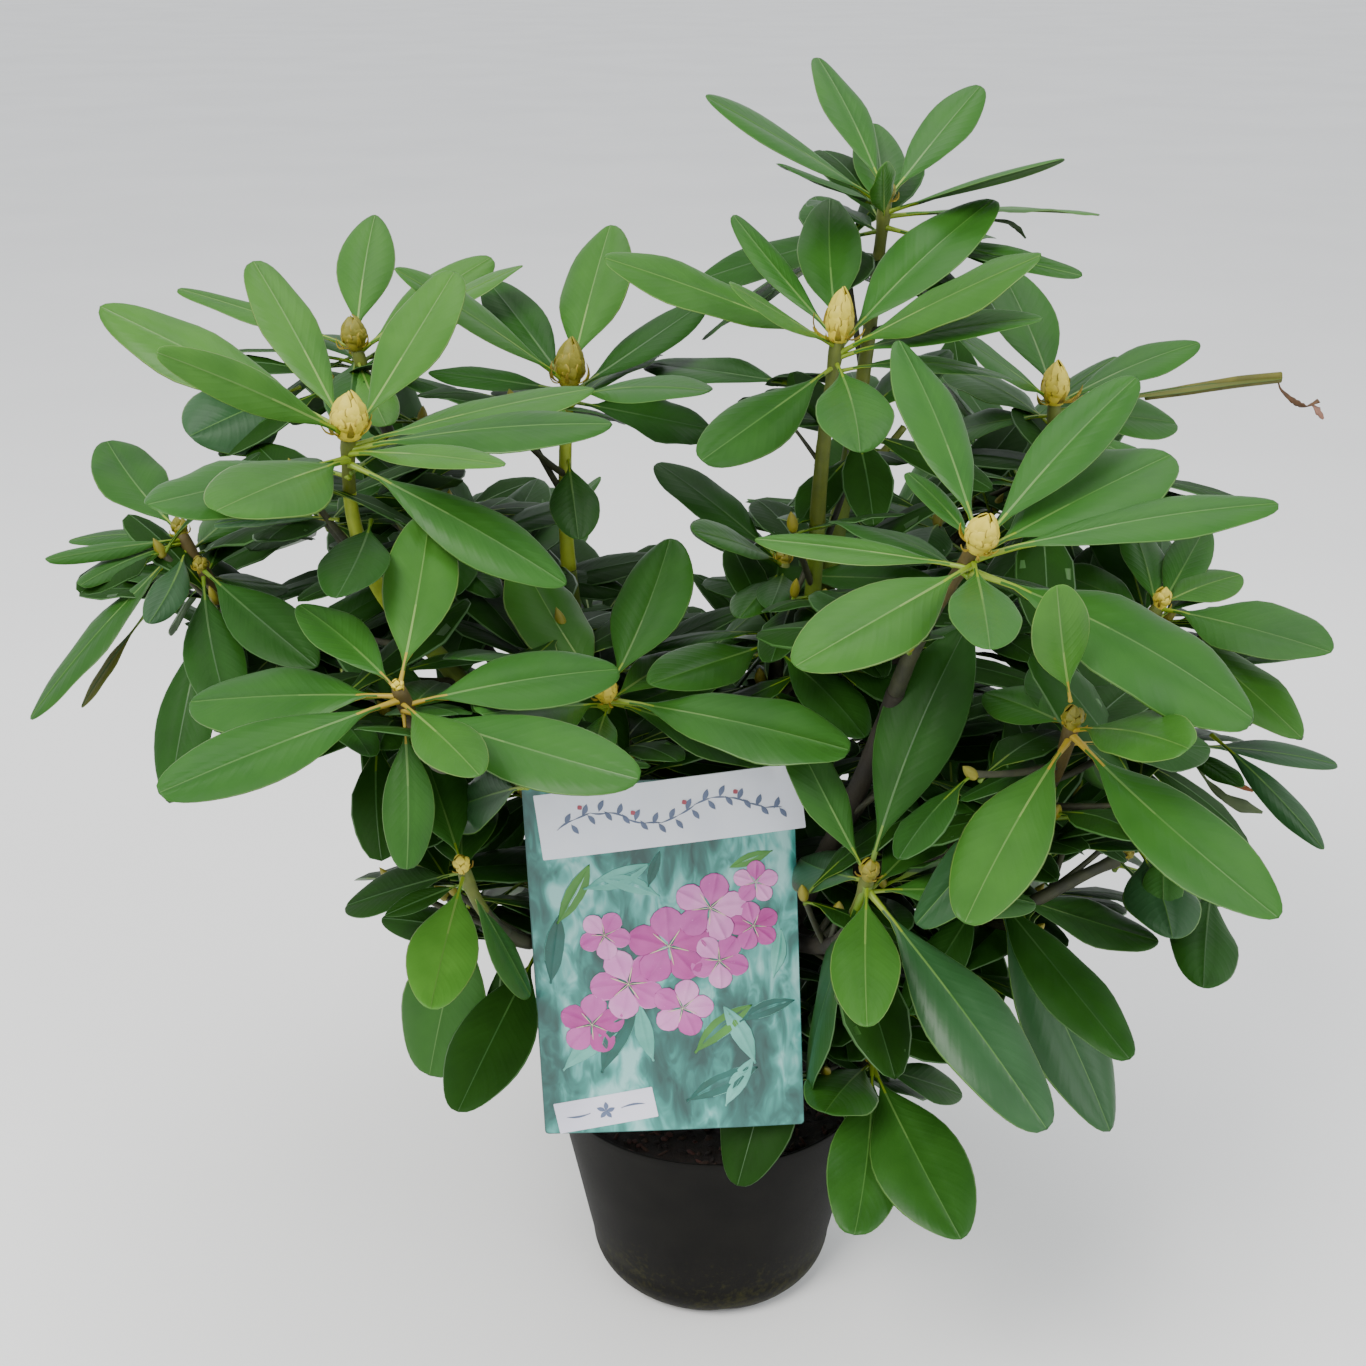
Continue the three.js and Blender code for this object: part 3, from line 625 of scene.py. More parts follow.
# A coarse leaf for the tests: a flat top over a keel at four stations, then the tip.
def leafBody(leaf, owner, start=0, extra=0):
    chord, along, side, up = leafAxes(leaf)
    length = np.linalg.norm(chord)
    t, share = np.array([station for station in leafRule["stations"] if station[0] >= start]).T[:, :, None]
    middle = leaf["root"] + chord * t + up * (4 * leafRule["arch"] * length * t * (1 - t) + extra)
    half = share * leaf["width"] * length / 2 + extra
    depth = leafRule["thickness"] * length + 2 * extra
    rings = np.stack([middle + side * half, middle - side * half, middle - up * depth], 1)
    return testBody(rings, owner, leaf["tip"] + along * extra)


def touches(body, other):
    apart = np.any(body["low"] > other["high"]) or np.any(other["low"] > body["high"])
    return not apart and bool(body["tree"].overlap(other["tree"]))


blades = []


# A leaf is kept where all of it misses other masses and limbs, and its blade misses its mass's own.
def hasRoom(leaf, owner):
    whole = leafBody(leaf, owner, 0, gap)
    if any(other["owner"] != owner and touches(whole, other) for other in obstacles):
        return False
    blade = leafBody(leaf, owner, leafRule["bladeStart"])
    return not any(other["owner"] == owner and touches(blade, other) for other in blades)


# The view that the front's likeness rests on: a pinhole at eye, lowered by pitch, its focal length and
# its square frame in pixels, and the width of its sensor.
view = {"eye": (-18.5, -1000, 820), "pitch": 22.4, "focal": 1842, "side": 1366, "sensor": 36}
eye = triple(*view["eye"])
pitch = math.radians(view["pitch"])
forward = triple(0, math.cos(pitch), -math.sin(pitch))
upward = triple(0, math.sin(pitch), math.cos(pitch))


# The point at depth y on the line of sight of pixel (u, v): eye + way · (y - eye y) / way y, with
# way = forward + (right · (u - middle) - up · (v - middle)) / focal.
def sighted(u, v, y):
    middle = view["side"] / 2
    right = triple(1, 0, 0)
    way = forward + (u - middle) / view["focal"] * right - (v - middle) / view["focal"] * upward
    return eye + way * (y - eye[1]) / way[1]


# Where the lines of sight of some pixels cross the plane y = 0: x and z, to the millimetre.
def crossings(pixels):
    return np.array([np.round(sighted(u, v, 0))[[0, 2]] for u, v in pixels])


# The corners of the crown's outline, then those of the openings where the sky shows through.
crownOutline = crossings((
    (30, 715), (60, 600), (45, 552), (110, 520), (103, 470), (110, 443), (150, 440), (190, 448), (190, 398),
    (160, 362), (98, 305), (180, 322), (180, 287), (255, 305), (247, 257), (262, 258), (330, 335),
    (342, 235), (378, 212), (400, 235), (400, 262), (440, 268), (490, 250), (525, 268), (535, 320),
    (556, 350), (560, 262), (608, 226), (636, 262), (700, 270), (735, 255), (735, 215), (800, 268),
    (800, 205), (786, 165), (705, 100), (716, 86), (790, 120), (862, 165), (810, 60), (832, 62), (872, 150),
    (900, 140), (960, 80), (988, 90), (985, 130), (930, 185), (1066, 160), (1000, 200), (1098, 208),
    (1000, 222), (1000, 245), (1084, 270), (1030, 285), (1060, 330), (1100, 352), (1203, 337), (1190, 360),
    (1283, 377), (1180, 395), (1180, 430), (1140, 442), (1174, 455), (1185, 488), (1280, 502), (1215, 525),
    (1217, 550), (1190, 562), (1240, 577), (1225, 600), (1330, 640), (1330, 662), (1262, 672), (1297, 728),
    (1337, 765), (1292, 762), (1322, 849), (1262, 812), (1248, 835), (1277, 917), (1240, 925), (1235, 960),
    (1200, 987), (1180, 940), (1150, 945), (1100, 952), (1127, 1060), (1111, 1130), (1062, 1085),
    (1045, 1135), (958, 1100), (940, 1115), (976, 1200), (960, 1242), (928, 1215), (860, 1236), (820, 1190),
    (832, 1110), (750, 1140), (736, 1187), (700, 1120), (560, 1135), (530, 1100), (455, 1112), (400, 1050),
    (398, 930), (345, 908), (360, 850), (350, 760), (290, 775), (165, 798), (160, 640), (130, 660),
    (92, 697), (88, 650),
))
skyWindows = [crossings(corners) for corners in (
    ((612, 430), (690, 408), (702, 455), (655, 462), (668, 528), (612, 560), (575, 555), (612, 500)),
    ((440, 330), (472, 336), (522, 368), (432, 362)),
    ((415, 388), (445, 372), (548, 382), (530, 390)),
    ((270, 440), (300, 425), (340, 430), (347, 450)),
    ((475, 445), (555, 440), (552, 460), (478, 490)),
    ((778, 290), (826, 320), (820, 345), (760, 350)),
    ((880, 215), (935, 210), (900, 262), (878, 262)),
    ((872, 335), (905, 335), (900, 372), (872, 375)),
    ((882, 398), (905, 400), (915, 455), (888, 440)),
    ((790, 425), (812, 440), (818, 480), (775, 480)),
    ((868, 470), (930, 462), (925, 490), (865, 492)),
    ((1058, 858), (1116, 856), (1105, 890), (1062, 882)),
    ((470, 965), (492, 965), (490, 995), (472, 998)),
    ((730, 350), (800, 330), (812, 352), (745, 362)),
    ((704, 464), (742, 456), (786, 445), (806, 462), (800, 482), (770, 500), (742, 478)),
    ((258, 450), (285, 430), (325, 428), (352, 446), (350, 456), (310, 458)),
    ((729, 668), (752, 670), (748, 684), (732, 680)),
    ((802, 690), (814, 692), (812, 704), (804, 702)),
    ((839, 716), (860, 718), (856, 732), (842, 730)),
    ((238, 556), (308, 558), (300, 582), (262, 580)),
)]


def seenAt(point):
    return eye + (point - eye) * -eye[1] / (point[1] - eye[1])


# A point lies in a polygon when a level line from it crosses an odd number of sides.
def within(polygon, x, z):
    ahead = np.roll(polygon, -1, axis=0)
    crossed = (polygon[:, 1] > z) != (ahead[:, 1] > z)
    rise = np.where(crossed, ahead[:, 1] - polygon[:, 1], 1)
    at = polygon[:, 0] + (z - polygon[:, 1]) / rise * (ahead[:, 0] - polygon[:, 0])
    return np.count_nonzero(crossed & (at > x)) % 2 == 1


def inView(points):
    for point in points:
        x, _, z = seenAt(point)
        if not within(crownOutline, x, z) or any(within(window, x, z) for window in skyWindows):
            return False
    return True


# Points that hang in front of what faces the viewer: a line from the eye meets it behind them.
def veils(points):
    for point in points:
        away = unit(point - eye)
        if frontTree.ray_cast(Vector(point + away), Vector(away))[0] is not None:
            return True
    return False


boxLow, boxHigh = (np.array(corner) / millimetre for corner in cadBox)


def insideBox(point, room):
    return bool(np.all(point > boxLow + room) and np.all(point < boxHigh - room))


def leafSamples(leaf):
    chord, _, side, _ = leafAxes(leaf)
    half = side * 0.42 * leaf["width"] * np.linalg.norm(chord)
    samples = [leaf["root"] + share * chord for share in (0.12, 0.28, 0.44, 0.6, 0.75, 0.88, 1.0)]
    sides = [(share, sign) for share in (0.42, 0.72) for sign in (1, -1)]
    return samples + [leaf["root"] + share * chord + sign * half for share, sign in sides]


def fitsBehind(leaf):
    samples = leafSamples(leaf)
    return inView(samples) and not veils(samples)


def settle(leaf, owner):
    leaf["owner"] = owner
    blades.append(leafBody(leaf, owner, leafRule["bladeStart"]))
    obstacles.append(leafBody(leaf, owner))
    return leaf


def growLeaf(shoot, index, sizes, roll, spread, owner, seen):
    azimuth, rise, length = sizes[:3]
    turn = sizes[3] if len(sizes) > 3 else leafRule["turn"]
    width = sizes[4] if len(sizes) > 4 else spread
    root = shoot["place"] - shoot["axis"] * (leafRule["rootSpacing"] * index + 1)
    for swing, lift in leafRule["nudges"] + (() if seen else leafRule["wideNudges"]):
        tip = shoot["place"] + direction(azimuth + swing, rise + lift) * length
        leaf = {"root": root, "tip": tip, "roll": roll, "turn": turn, "width": width,
                "light": frontLight if seen else topLight}
        if not seen and not (insideBox(tip, leafRule["keepInside"]) and fitsBehind(leaf)):
            continue
        if hasRoom(leaf, owner):
            return settle(leaf, owner)
    return None


def wantedLeaves(shoot, draw):
    wanted = [(sizes, True) for sizes in shoot["leaves"]]
    behind, ring = shoot["behind"], shoot["ring"]
    for k in range(behind):
        azimuth = 90 + 150 * ((k + 0.5) / behind - 0.5) + 20 * (draw() - 0.5)
        wanted.append(([azimuth, -25 + 25 * draw(), 85 + 25 * draw()], False))
    for k in range(ring):
        azimuth = 137.5 * k + 20 * draw()
        rise = 35 - 60 * k / ring + 10 * draw()
        wanted.append(([azimuth, rise, 92 + 26 * draw()], False))
    return wanted


# The wood of a mass: its first shoot leaves the bough's tip, and the others fork from that shoot.
def growWood(name, shoots):
    heading = headingAlong(limbs[name], 1.0)
    base = placeAlong(limbs[name], 1.0) + heading * gap
    stem = None
    for shoot in shoots:
        shoot["place"] = triple(*shoot["at"])
        start = placeAlong(stem, 0.3) if stem else base
        leaving = headingAlong(stem, 0.3) if stem else heading
        span = np.linalg.norm(shoot["place"] - start)
        shoot["curve"] = quadratic(start, start + leaving * span * 0.45, shoot["place"])
        shoot["axis"] = unit(headingAlong(shoot["curve"], 1.0) + triple(0, 0, 1))
        shoot["owner"] = name
        stem = stem or shoot["curve"]
        obstacles.append(limbBody(shoot["curve"], (4.2, 3.4), 4, 3, name))


def growLeaves(name, shoots, massIndex, seen):
    draw = seeded(7 + 31 * massIndex)
    for shootIndex, shoot in enumerate(shoots):
        for index, (sizes, faces) in enumerate(wantedLeaves(shoot, draw)):
            roll = 20 * (draw() - 0.5)
            spread = between(leafRule["widths"], draw())
            leaf = growLeaf(shoot, index, sizes, roll, spread, name, seen) if faces == seen else None
            if leaf:
                leaf["seen"] = seen
                leaf["spot"] = (name, shootIndex, index)
                leaves.append(leaf)


# How a leaf that faces the front is set right once grown: a factor on its width, a tone (painted light or
# shade, or its own fresh or olive colour), the pixels where its tip and its root are seen, and its share of
# the turn to the light.
def wish(broad=1, tone=None, tip=None, root=None, turn=None):
    return {"broad": broad, "tone": tone, "tip": tip, "root": root, "turn": turn}


# A leaf's end, moved by whole millimetres to its pixel; a third value of the pixel is a step in depth.
def moved(end, pixel):
    if pixel is None:
        return end
    u, v, *step = pixel
    return end + np.round(sighted(u, v, end[1] + sum(step)) - end)


# By mass and shoot, then by the leaf's number.
retouch = {
    ("west_high", 0): {0: wish(0.88, "pale", (100, 306)), 1: wish(0.52, "pale", (157, 352), turn=1),
        2: wish(0.82, "pale"), 3: wish(0.97, "pale"), 4: wish(0.95, "bright"),
        5: wish(tone="deep", tip=(612, 424)), 6: wish(0.55, "pale", (505, 465)),
        7: wish(1.45, "mid", (146, 505)), 8: wish(1.45, "bright", (216, 511)), 9: wish(0.92, "mid"),
        10: wish(1.15, "dark", (337, 598), (372, 520)), 11: wish(0.5, "cool", (214, 525), (338, 520))},
    ("west_back", 0): {0: wish(1.05, "bright", (376, 215)), 1: wish(0.65),
        4: wish(2.1, "cool", (190, 436), (300, 388), turn=1)},
    ("centre_left", 0): {0: wish(1.14, "bright", (611, 224)), 1: wish(0.92, "bright"),
        2: wish(0.82, "dark"), 3: wish(0.6, "dark"), 4: wish(0.73, "dark"), 5: wish(1.15, "mid"),
        6: wish(1.1, "dark", (712, 430)), 8: wish(1.15, "deep", (578, 540), (568, 456))},
    ("far_west", 0): {0: wish(1.25, "deep", (107, 441)), 1: wish(0.5, "deep", (69, 540)),
        2: wish(0.5, tip=(46, 560)), 3: wish(0.65, "deep", (81, 586)), 4: wish(0.88, "deep", (30, 720)),
        5: wish(0.66, "cool", (148, 624)), 6: wish(0.55, "olive", (81, 707), (145, 616))},
    ("far_west", 1): {0: wish(1.15, "dark", (318, 668)), 1: wish(0.95, "dark", (170, 803), (210, 605)),
        2: wish(tone="dark", tip=(232, 720))},
    ("front_west", 0): {0: wish(1.12), 1: wish(1, "mid"), 2: wish(1.4, "mid"), 3: wish(0.88, "mid"),
        4: wish(1, "bright"), 5: wish(1.1), 6: wish(0.98, "mid"), 7: wish(1.08, "deep", (407, 870))},
    ("front_centre", 0): {0: wish(1.35, "mid"), 1: wish(1.3, tip=(522, 560)), 2: wish(1.1, "mid"),
        3: wish(1.1, "deep", (768, 761, 15))},
    ("low_west", 0): {0: wish(1.2, "mid"), 1: wish(1.25, "shade", (345, 906)),
        2: wish(1.1, "fresh", (430, 1010)), 3: wish(tone="mid", tip=(531, 996)),
        4: wish(1, "cool", (446, 813, -20), (527, 786, -20), turn=0.8),
        5: wish(tone="shade", tip=(385, 915, 20))},
    ("low_west", 1): {0: wish(1.35, "shade", (457, 1112), (540, 945)),
        1: wish(1.4, "deep", (430, 1076), (470, 900)), 2: wish(0.8, "shade", (382, 918)),
        3: wish(0.8, "shade", (490, 1050, 20))},
    ("crown_top", 0): {0: wish(0.8, "mid"), 1: wish(0.85, "mid"), 2: wish(1.12, "mid", (706, 96)),
        3: wish(1.3, "dark"), 5: wish(0.8), 6: wish(1.25, "bright", (882, 165), turn=1),
        8: wish(0.5, "deep", (1083, 277)), 9: wish(tone="dark", tip=(697, 281))},
    ("crown_front", 0): {0: wish(1.15, "deep"), 1: wish(0.56, "mid", (733, 214)), 2: wish(0.92, "bright"),
        3: wish(0.9, "pale", (731, 286, -18)), 4: wish(1.2, "mid"), 5: wish(1.05, "bright"),
        6: wish(0.8, "mid"), 7: wish(1.38, "mid", (860, 452)), 8: wish(1.1, "deep"),
        9: wish(1, "dark", (650, 363, 60), (800, 385, 40))},
    ("east_high", 0): {0: wish(1.15, "mid"), 2: wish(0.95), 3: wish(1.5, "mid"),
        4: wish(0.32, "olive", (1283, 377))},
    ("front_east", 0): {0: wish(0.98, "mid"), 1: wish(0.63), 2: wish(0.73, "mid"),
        3: wish(1.4, "mid", (1172, 455)), 4: wish(0.8, "mid", (1278, 503)), 5: wish(1.15, "mid"),
        6: wish(1.12, "bright"), 7: wish(0.77, "bright"), 8: wish(1.08, "mid", (1253, 720))},
    ("far_east", 0): {0: wish(1.35, "bright", (1241, 575)), 1: wish(1.5, "mid", (1332, 653)),
        4: wish(0.95)},
    ("far_east", 1): {0: wish(0.6, "cool", (1337, 765)), 1: wish(0.6, "cool", (1324, 849), (1211, 735)),
        2: wish(tone="dark")},
    ("front_east_low", 0): {0: wish(1.25, "pale", (1056, 585, -147), (1070, 701, -45), turn=1),
        1: wish(1, "mid", (985, 693), turn=1), 2: wish(1.15, "bright", (1189, 750, -20)),
        3: wish(0.92, "mid", (1278, 918)), 4: wish(1.15, "bright"), 5: wish(tone="cool"),
        6: wish(tone="dark")},
    ("low_centre", 0): {0: wish(1.05, "dark", (966, 628), turn=0.9), 1: wish(1, "deep", (788, 722, -57)),
        2: wish(1, "cool", (799, 859, 41), turn=1), 3: wish(tone="dark", tip=(806, 1087, 96)),
        4: wish(1.15, "bright"), 5: wish(0.97, "cool")},
    ("low_east", 0): {0: wish(1.25, "deep"), 1: wish(1.35, "deep", (961, 1239)), 2: wish(1.6, "deep"),
        3: wish(tone="dark")},
    ("low_east", 1): {0: wish(1.6, "shade", (737, 1186))},
    ("inner", 1): {0: wish(tone="deep"), 2: wish(tone="dark")},
    ("low_far_east", 0): {0: wish(0.84, "dark"), 1: wish(1.1, "cool")},
    ("low_far_east", 1): {0: wish(1.25, "dark", (1203, 989), (1213, 880)),
        1: wish(1.7, "cool", (1172, 938), (1138, 850)),
        2: wish(1.4, "mid", (1163, 913, -12), (1165, 845, -12))},
}
bareStems = ("west_high", "centre_left", "crown_top", "crown_front")

leaves = []
for name, shoots in massTable.items():
    growWood(name, shoots)
for massIndex, (name, shoots) in enumerate(massTable.items()):
    growLeaves(name, shoots, massIndex, True)
for leaf in leaves:
    *shootSpot, index = leaf["spot"]
    change = retouch.get(tuple(shootSpot), {}).get(index, wish())
    for end in ("root", "tip"):
        leaf[end] = moved(leaf[end], change[end])
    leaf["tone"] = change["tone"]
    leaf["arch"] = leafRule["seenArch"]
    leaf["width"] *= leafRule["slim"] * change["broad"]
    leaf["turn"] = leaf["turn"] if change["turn"] is None else change["turn"]

# What faces the viewer as one skin: those leaves, their buds, some bare stems and the card.
frontBodies = [leafBody(leaf, leaf["owner"]) for leaf in leaves]
frontBodies += [body for body in obstacles if body["owner"] == "label_card"]
for name, shoots in massTable.items():
    for shoot in shoots:
        if not name.startswith("back"):
            radius, height = shoot["bud"]
            top = shoot["place"] + shoot["axis"] * height
            egg = quadratic(shoot["place"], (shoot["place"] + top) / 2, top)
            frontBodies.append(limbBody(egg, (radius, 0.6 * radius), 6, 2, name))
        if name in bareStems:
            frontBodies.append(limbBody(shoot["curve"], (4.2, 3.4), 6, 4, name))
frontPoints, frontFaces = [], []
for body in frontBodies:
    frontFaces += [tuple(corner + len(frontPoints) for corner in face) for face in body["faces"]]
    frontPoints += body["points"].tolist()
frontTree = BVHTree.FromPolygons(frontPoints, frontFaces)

for massIndex, (name, shoots) in enumerate(massTable.items()):  # the rest fills in behind
    growLeaves(name, shoots, massIndex, False)
print("rule grown:", len(leaves), "leaves")


# Finer growth: seeded twiglets along the boughs and shoots, with smaller leaves in the shade.

finer = {
    "seed": 41, "boughShares": (0.25, 0.98), "onBough": 8, "shootShares": (0.1, 0.8), "onShoot": 4,
    "reach": (34, 74), "radius": (2.1, 1.5), "leafCount": (4, 6), "leafLength": (64, 104),
    "keepInside": 20,  # how far every tip stays within the box of the solids
}


def growTwiglet(curve, share, owner, draw):
    start = placeAlong(curve, share)
    heading = headingAlong(curve, share)
    outward = unit(start - triple(0, 10, 330) + triple(0.01, 0, 0))
    azimuth = math.degrees(math.atan2(outward[1], outward[0])) + 240 * (draw() - 0.5)
    leaving = unit(0.4 * heading + direction(azimuth, -20 + 70 * draw()))
    reach = between(finer["reach"], draw())
    place = start + leaving * reach + triple(0, 0, 0.12 * reach)
    picks = [draw() for _ in range(30)]
    if not insideBox(place, 25) or place[2] < 150 or not inView([place]) or veils([place]):
        return None
    bend = start + leaving * reach * 0.55
    twig = quadratic(start, bend, place)
    if veils([placeAlong(twig, 0.6)]):
        return None
    twiglet = {"curve": twig, "place": place, "axis": unit(headingAlong(twig, 1.0) + triple(0, 0, 0.6)),
               "owner": owner, "bud": (2.6 + 1.2 * picks[0], 8 + 4 * picks[1]), "fine": True}
    body = limbBody(twig, (finer["radius"][0] + gap, finer["radius"][1] + gap), 4, 3, owner)
    own = (owner, "bough_" + owner, "trunk")
    if any(other["owner"] not in own and touches(body, other) for other in obstacles):
        return None
    count = finer["leafCount"][0] + int(picks[2] * (finer["leafCount"][1] - finer["leafCount"][0] + 1))
    kept = []
    for k in range(count):
        a, b, c, d = picks[3 + 4 * k:7 + 4 * k]
        length = between(finer["leafLength"], a)
        root = place - twiglet["axis"] * (1.6 * k + 1)
        for swing, lift in leafRule["nudges"] + leafRule["wideNudges"]:
            tip = place + direction(137.5 * k + 40 * b + azimuth + swing, 30 - 70 * c + lift) * length
            leaf = {"root": root, "tip": tip, "roll": 24 * (d - 0.5), "turn": leafRule["turn"],
                    "width": 0.34 + 0.07 * b, "light": topLight, "seen": False, "fine": True}
            clear = insideBox(tip, finer["keepInside"]) and tip[2] > 140 and fitsBehind(leaf)
            if clear and hasRoom(leaf, owner):
                kept.append(settle(leaf, owner))
                break
    if len(kept) < 2:
        for leaf in kept:
            blades.pop()
            obstacles.pop()
        return None
    obstacles.append(body)
    leaves.extend(kept)
    return twiglet


twiglets = []
draw = seeded(finer["seed"])
for massIndex, (name, shoots) in enumerate(massTable.items()):
    for curve, shares, count in [(limbs[name], finer["boughShares"], finer["onBough"])] + [
            (shoot["curve"], finer["shootShares"], finer["onShoot"]) for shoot in shoots]:
        for k in range(count):
            share = shares[0] + (shares[1] - shares[0]) * (k + 0.3 + 0.5 * draw()) / count
            twiglet = growTwiglet(curve, min(share, 0.99), name, draw)
            if twiglet:
                twiglets.append(twiglet)
print("finer growth:", len(twiglets), "twiglets,", len(leaves), "leaves in all")


# Leaf surfaces.

leafShape = {
    "rows": 21, "stalk": 0.14, "stalkRadius": 0.011, "skew": 1.17, "thickness": 0.7,
    "rib": (0.7, 0.2), "ribRaise": 0.24, "ribDrop": (1.3, 0.3),
    "fold": (0.1, 0.24), "curl": (0.16, 0.34), "wave": (0.0, 0.09), "twist": 9, "bend": 0.03, "droop": 0.02,
    "point": (0.38, 0.62),
    "over": (-1, -0.965, -0.8, -0.55, -0.28, "left", "middle", "right", 0.28, 0.55, 0.8, 0.965, 1),
    "under": (0.93, 0.4, "right", "middle", "left", -0.4, -0.93),
}
coarse = {
    "over": (-1, -0.93, -0.45, "left", "middle", "right", 0.45, 0.93, 1), "under": (0.6, "middle", -0.6),
}
fineShape = dict(leafShape, rows=10, **coarse)
bladeZone, ribZone, marginZone, underZone, stalkZone, veinZone = range(6)


# Columns of a leaf's section: the share of the way from rib to margin, which rib line and which layer,
# then the zone of the face that follows each column.
def sectionColumns(shape):
    share, ribs, layer = [], [], []
    for columns, side in ((shape["over"], 1), (shape["under"], -1)):
        for column in columns:
            ribs.append({"left": -1, "middle": 0, "right": 1}[column] if isinstance(column, str) else 2)
            share.append(0 if isinstance(column, str) else column)
            layer.append(side)
    over = len(shape["over"])
    zone = np.full(len(share), underZone)
    zone[:over - 1] = bladeZone
    zone[[0, over - 2, over - 1, len(share) - 1]] = marginZone
    zone[[shape["over"].index("left"), shape["over"].index("middle")]] = ribZone
    return np.array(share, float), np.array(ribs), np.array(layer, float), zone


# Closed leaves as one array. Along t from root to tip, half width² = stalk² + (w · sin(π b^skew)^point)²
# with b = (t - stalk) / (1 - stalk). Across, a = |x| / half, and the height is
# half · (fold · a - curl · a^2.6) plus half the thickness · (1 - a^6), with the midrib raised and
# rounded below. The middle runs root + chord · t + up · 4 · arch · t(1 - t), with a little side bend.
def pourLeaves(heap, batch, shape, slotOf, seed):
    count = len(batch)
    chance = np.random.default_rng(seed)
    axes = [leafAxes(leaf) for leaf in batch]
    chord, along, side, up = (np.array([axis[k] for axis in axes])[:, None] for k in range(4))
    root = np.array([leaf["root"] for leaf in batch])[:, None]
    length = np.linalg.norm(chord, axis=-1)
    width = np.array([leaf["width"] for leaf in batch])[:, None]

    def spread(low, high):
        return low + (high - low) * chance.random((count, 1))

    rows = shape["rows"]
    t = np.linspace(0, 1, rows + 1)[:-1]
    t = (0.1 * t + 0.9 * (1 - np.cos(math.pi * t)) / 2)[None] * np.ones((count, 1))
    b = np.clip((t - shape["stalk"]) / (1 - shape["stalk"]), 0, 1)
    power = 0.95 - (0.95 - spread(*shape["point"])) * b
    blade = width * length / 2 * np.sin(math.pi * b ** shape["skew"]) ** power
    stalk = shape["stalkRadius"] * length * (1.25 * np.exp(-t / 0.03) * 0.4 + 1 - 0.75 * t)
    half = np.sqrt(stalk ** 2 + blade ** 2)
    flat = np.clip((half - stalk) / (2.2 * stalk), 0, 1)

    share, ribs, layer, zone = sectionColumns(shape)
    rib = np.minimum(between(shape["rib"], t), 0.5 * half)
    beyond = np.sign(share) * rib[..., None] + (half - rib)[..., None] * share
    x = np.where(ribs == 2, beyond, ribs * rib[..., None])
    a = np.clip(np.abs(x) / half[..., None], 0, 1)
    fold, curl = spread(*shape["fold"]), spread(*shape["curl"])
    stem = layer * np.sqrt(1 - a ** 2) * stalk[..., None]
    thick = layer * shape["thickness"] / 2 * (1 - a ** 6)
    lean = fold[..., None] * a - curl[..., None] * a ** 2.6
    phase, waves = spread(0, 6.3), spread(1.4, 2.6)
    wavy = spread(*shape["wave"])[..., None] * a ** 2 * np.sin(
        6.3 * waves[..., None] * b[..., None] + phase[..., None] + 1.3 * np.sign(x))
    drop = between(shape["ribDrop"], t)
    raised = np.where((ribs == 0) & (layer > 0), shape["ribRaise"], 0.0)
    raised = raised + np.where((np.abs(ribs) == 1) & (layer > 0), -0.15, 0.0)
    raised = raised - np.where((ribs == 0) & (layer < 0), 1.0, 0.0) * drop[..., None]
    z = (1 - flat[..., None]) * stem + flat[..., None] * (thick + raised + half[..., None] * (lean + wavy))
    turn = np.radians(spread(-shape["twist"], shape["twist"])) * (t - 0.3) * 2 * flat
    x, z = rotate(x, z, np.cos(turn)[..., None], np.sin(turn)[..., None])

    arch = np.array([leaf.get("arch", leafRule["arch"]) for leaf in batch])[:, None]
    arch = arch + spread(-shape["droop"], shape["droop"])
    swell = 4 * t * (1 - t)
    middle = root + chord * t[..., None] + up * (arch * length * swell)[..., None]
    middle = middle + side * (spread(-shape["bend"], shape["bend"]) * length * swell)[..., None]
    points = middle[:, :, None] + side[:, :, None] * x[..., None] + up[:, :, None] * z[..., None]
    tip = root + chord
    columns = len(share)
    size = rows * columns + 1
    points = np.concatenate([points.reshape(count, -1, 3), tip], axis=1)
    v = 0.5 + 0.5 * np.sign(x) * a
    places = np.stack([np.broadcast_to(t[..., None], v.shape), v], -1).reshape(count, -1, 2)
    places = np.concatenate([places, np.full((count, 1, 2), (1.0, 0.5))], axis=1)

    quads = gridFaces(rows, columns, closed=True)
    last = (rows - 1) * columns + np.arange(columns)
    tris = np.concatenate([
        np.stack([last, np.full(columns, size - 1), np.roll(last, -1)], -1),
        np.stack([np.zeros(columns - 2, int), np.arange(1, columns - 1), np.arange(2, columns)], -1)])
    zoneRows = np.tile(zone, (rows - 1, 1))
    zoneRows[int(rows * 0.5):][:, zone == ribZone] = veinZone  # the rib pales only near the stalk
    stalkRows = int(rows * 0.21)
    zoneRows[:stalkRows] = stalkZone
    zoneRows[:stalkRows + 2][:, zone != bladeZone] = stalkZone
    triZones = np.concatenate([np.where(zone == ribZone, veinZone, zone), np.full(columns - 2, stalkZone)])
    table = np.array([slotOf(leaf) for leaf in batch])
    offset = np.arange(count)[:, None, None] * size
    pour(heap, points, [(quads[None] + offset).reshape(-1, 4), (tris[None] + offset).reshape(-1, 3)],
         places, [table[:, zoneRows.ravel()].ravel(), table[:, triZones].ravel()])
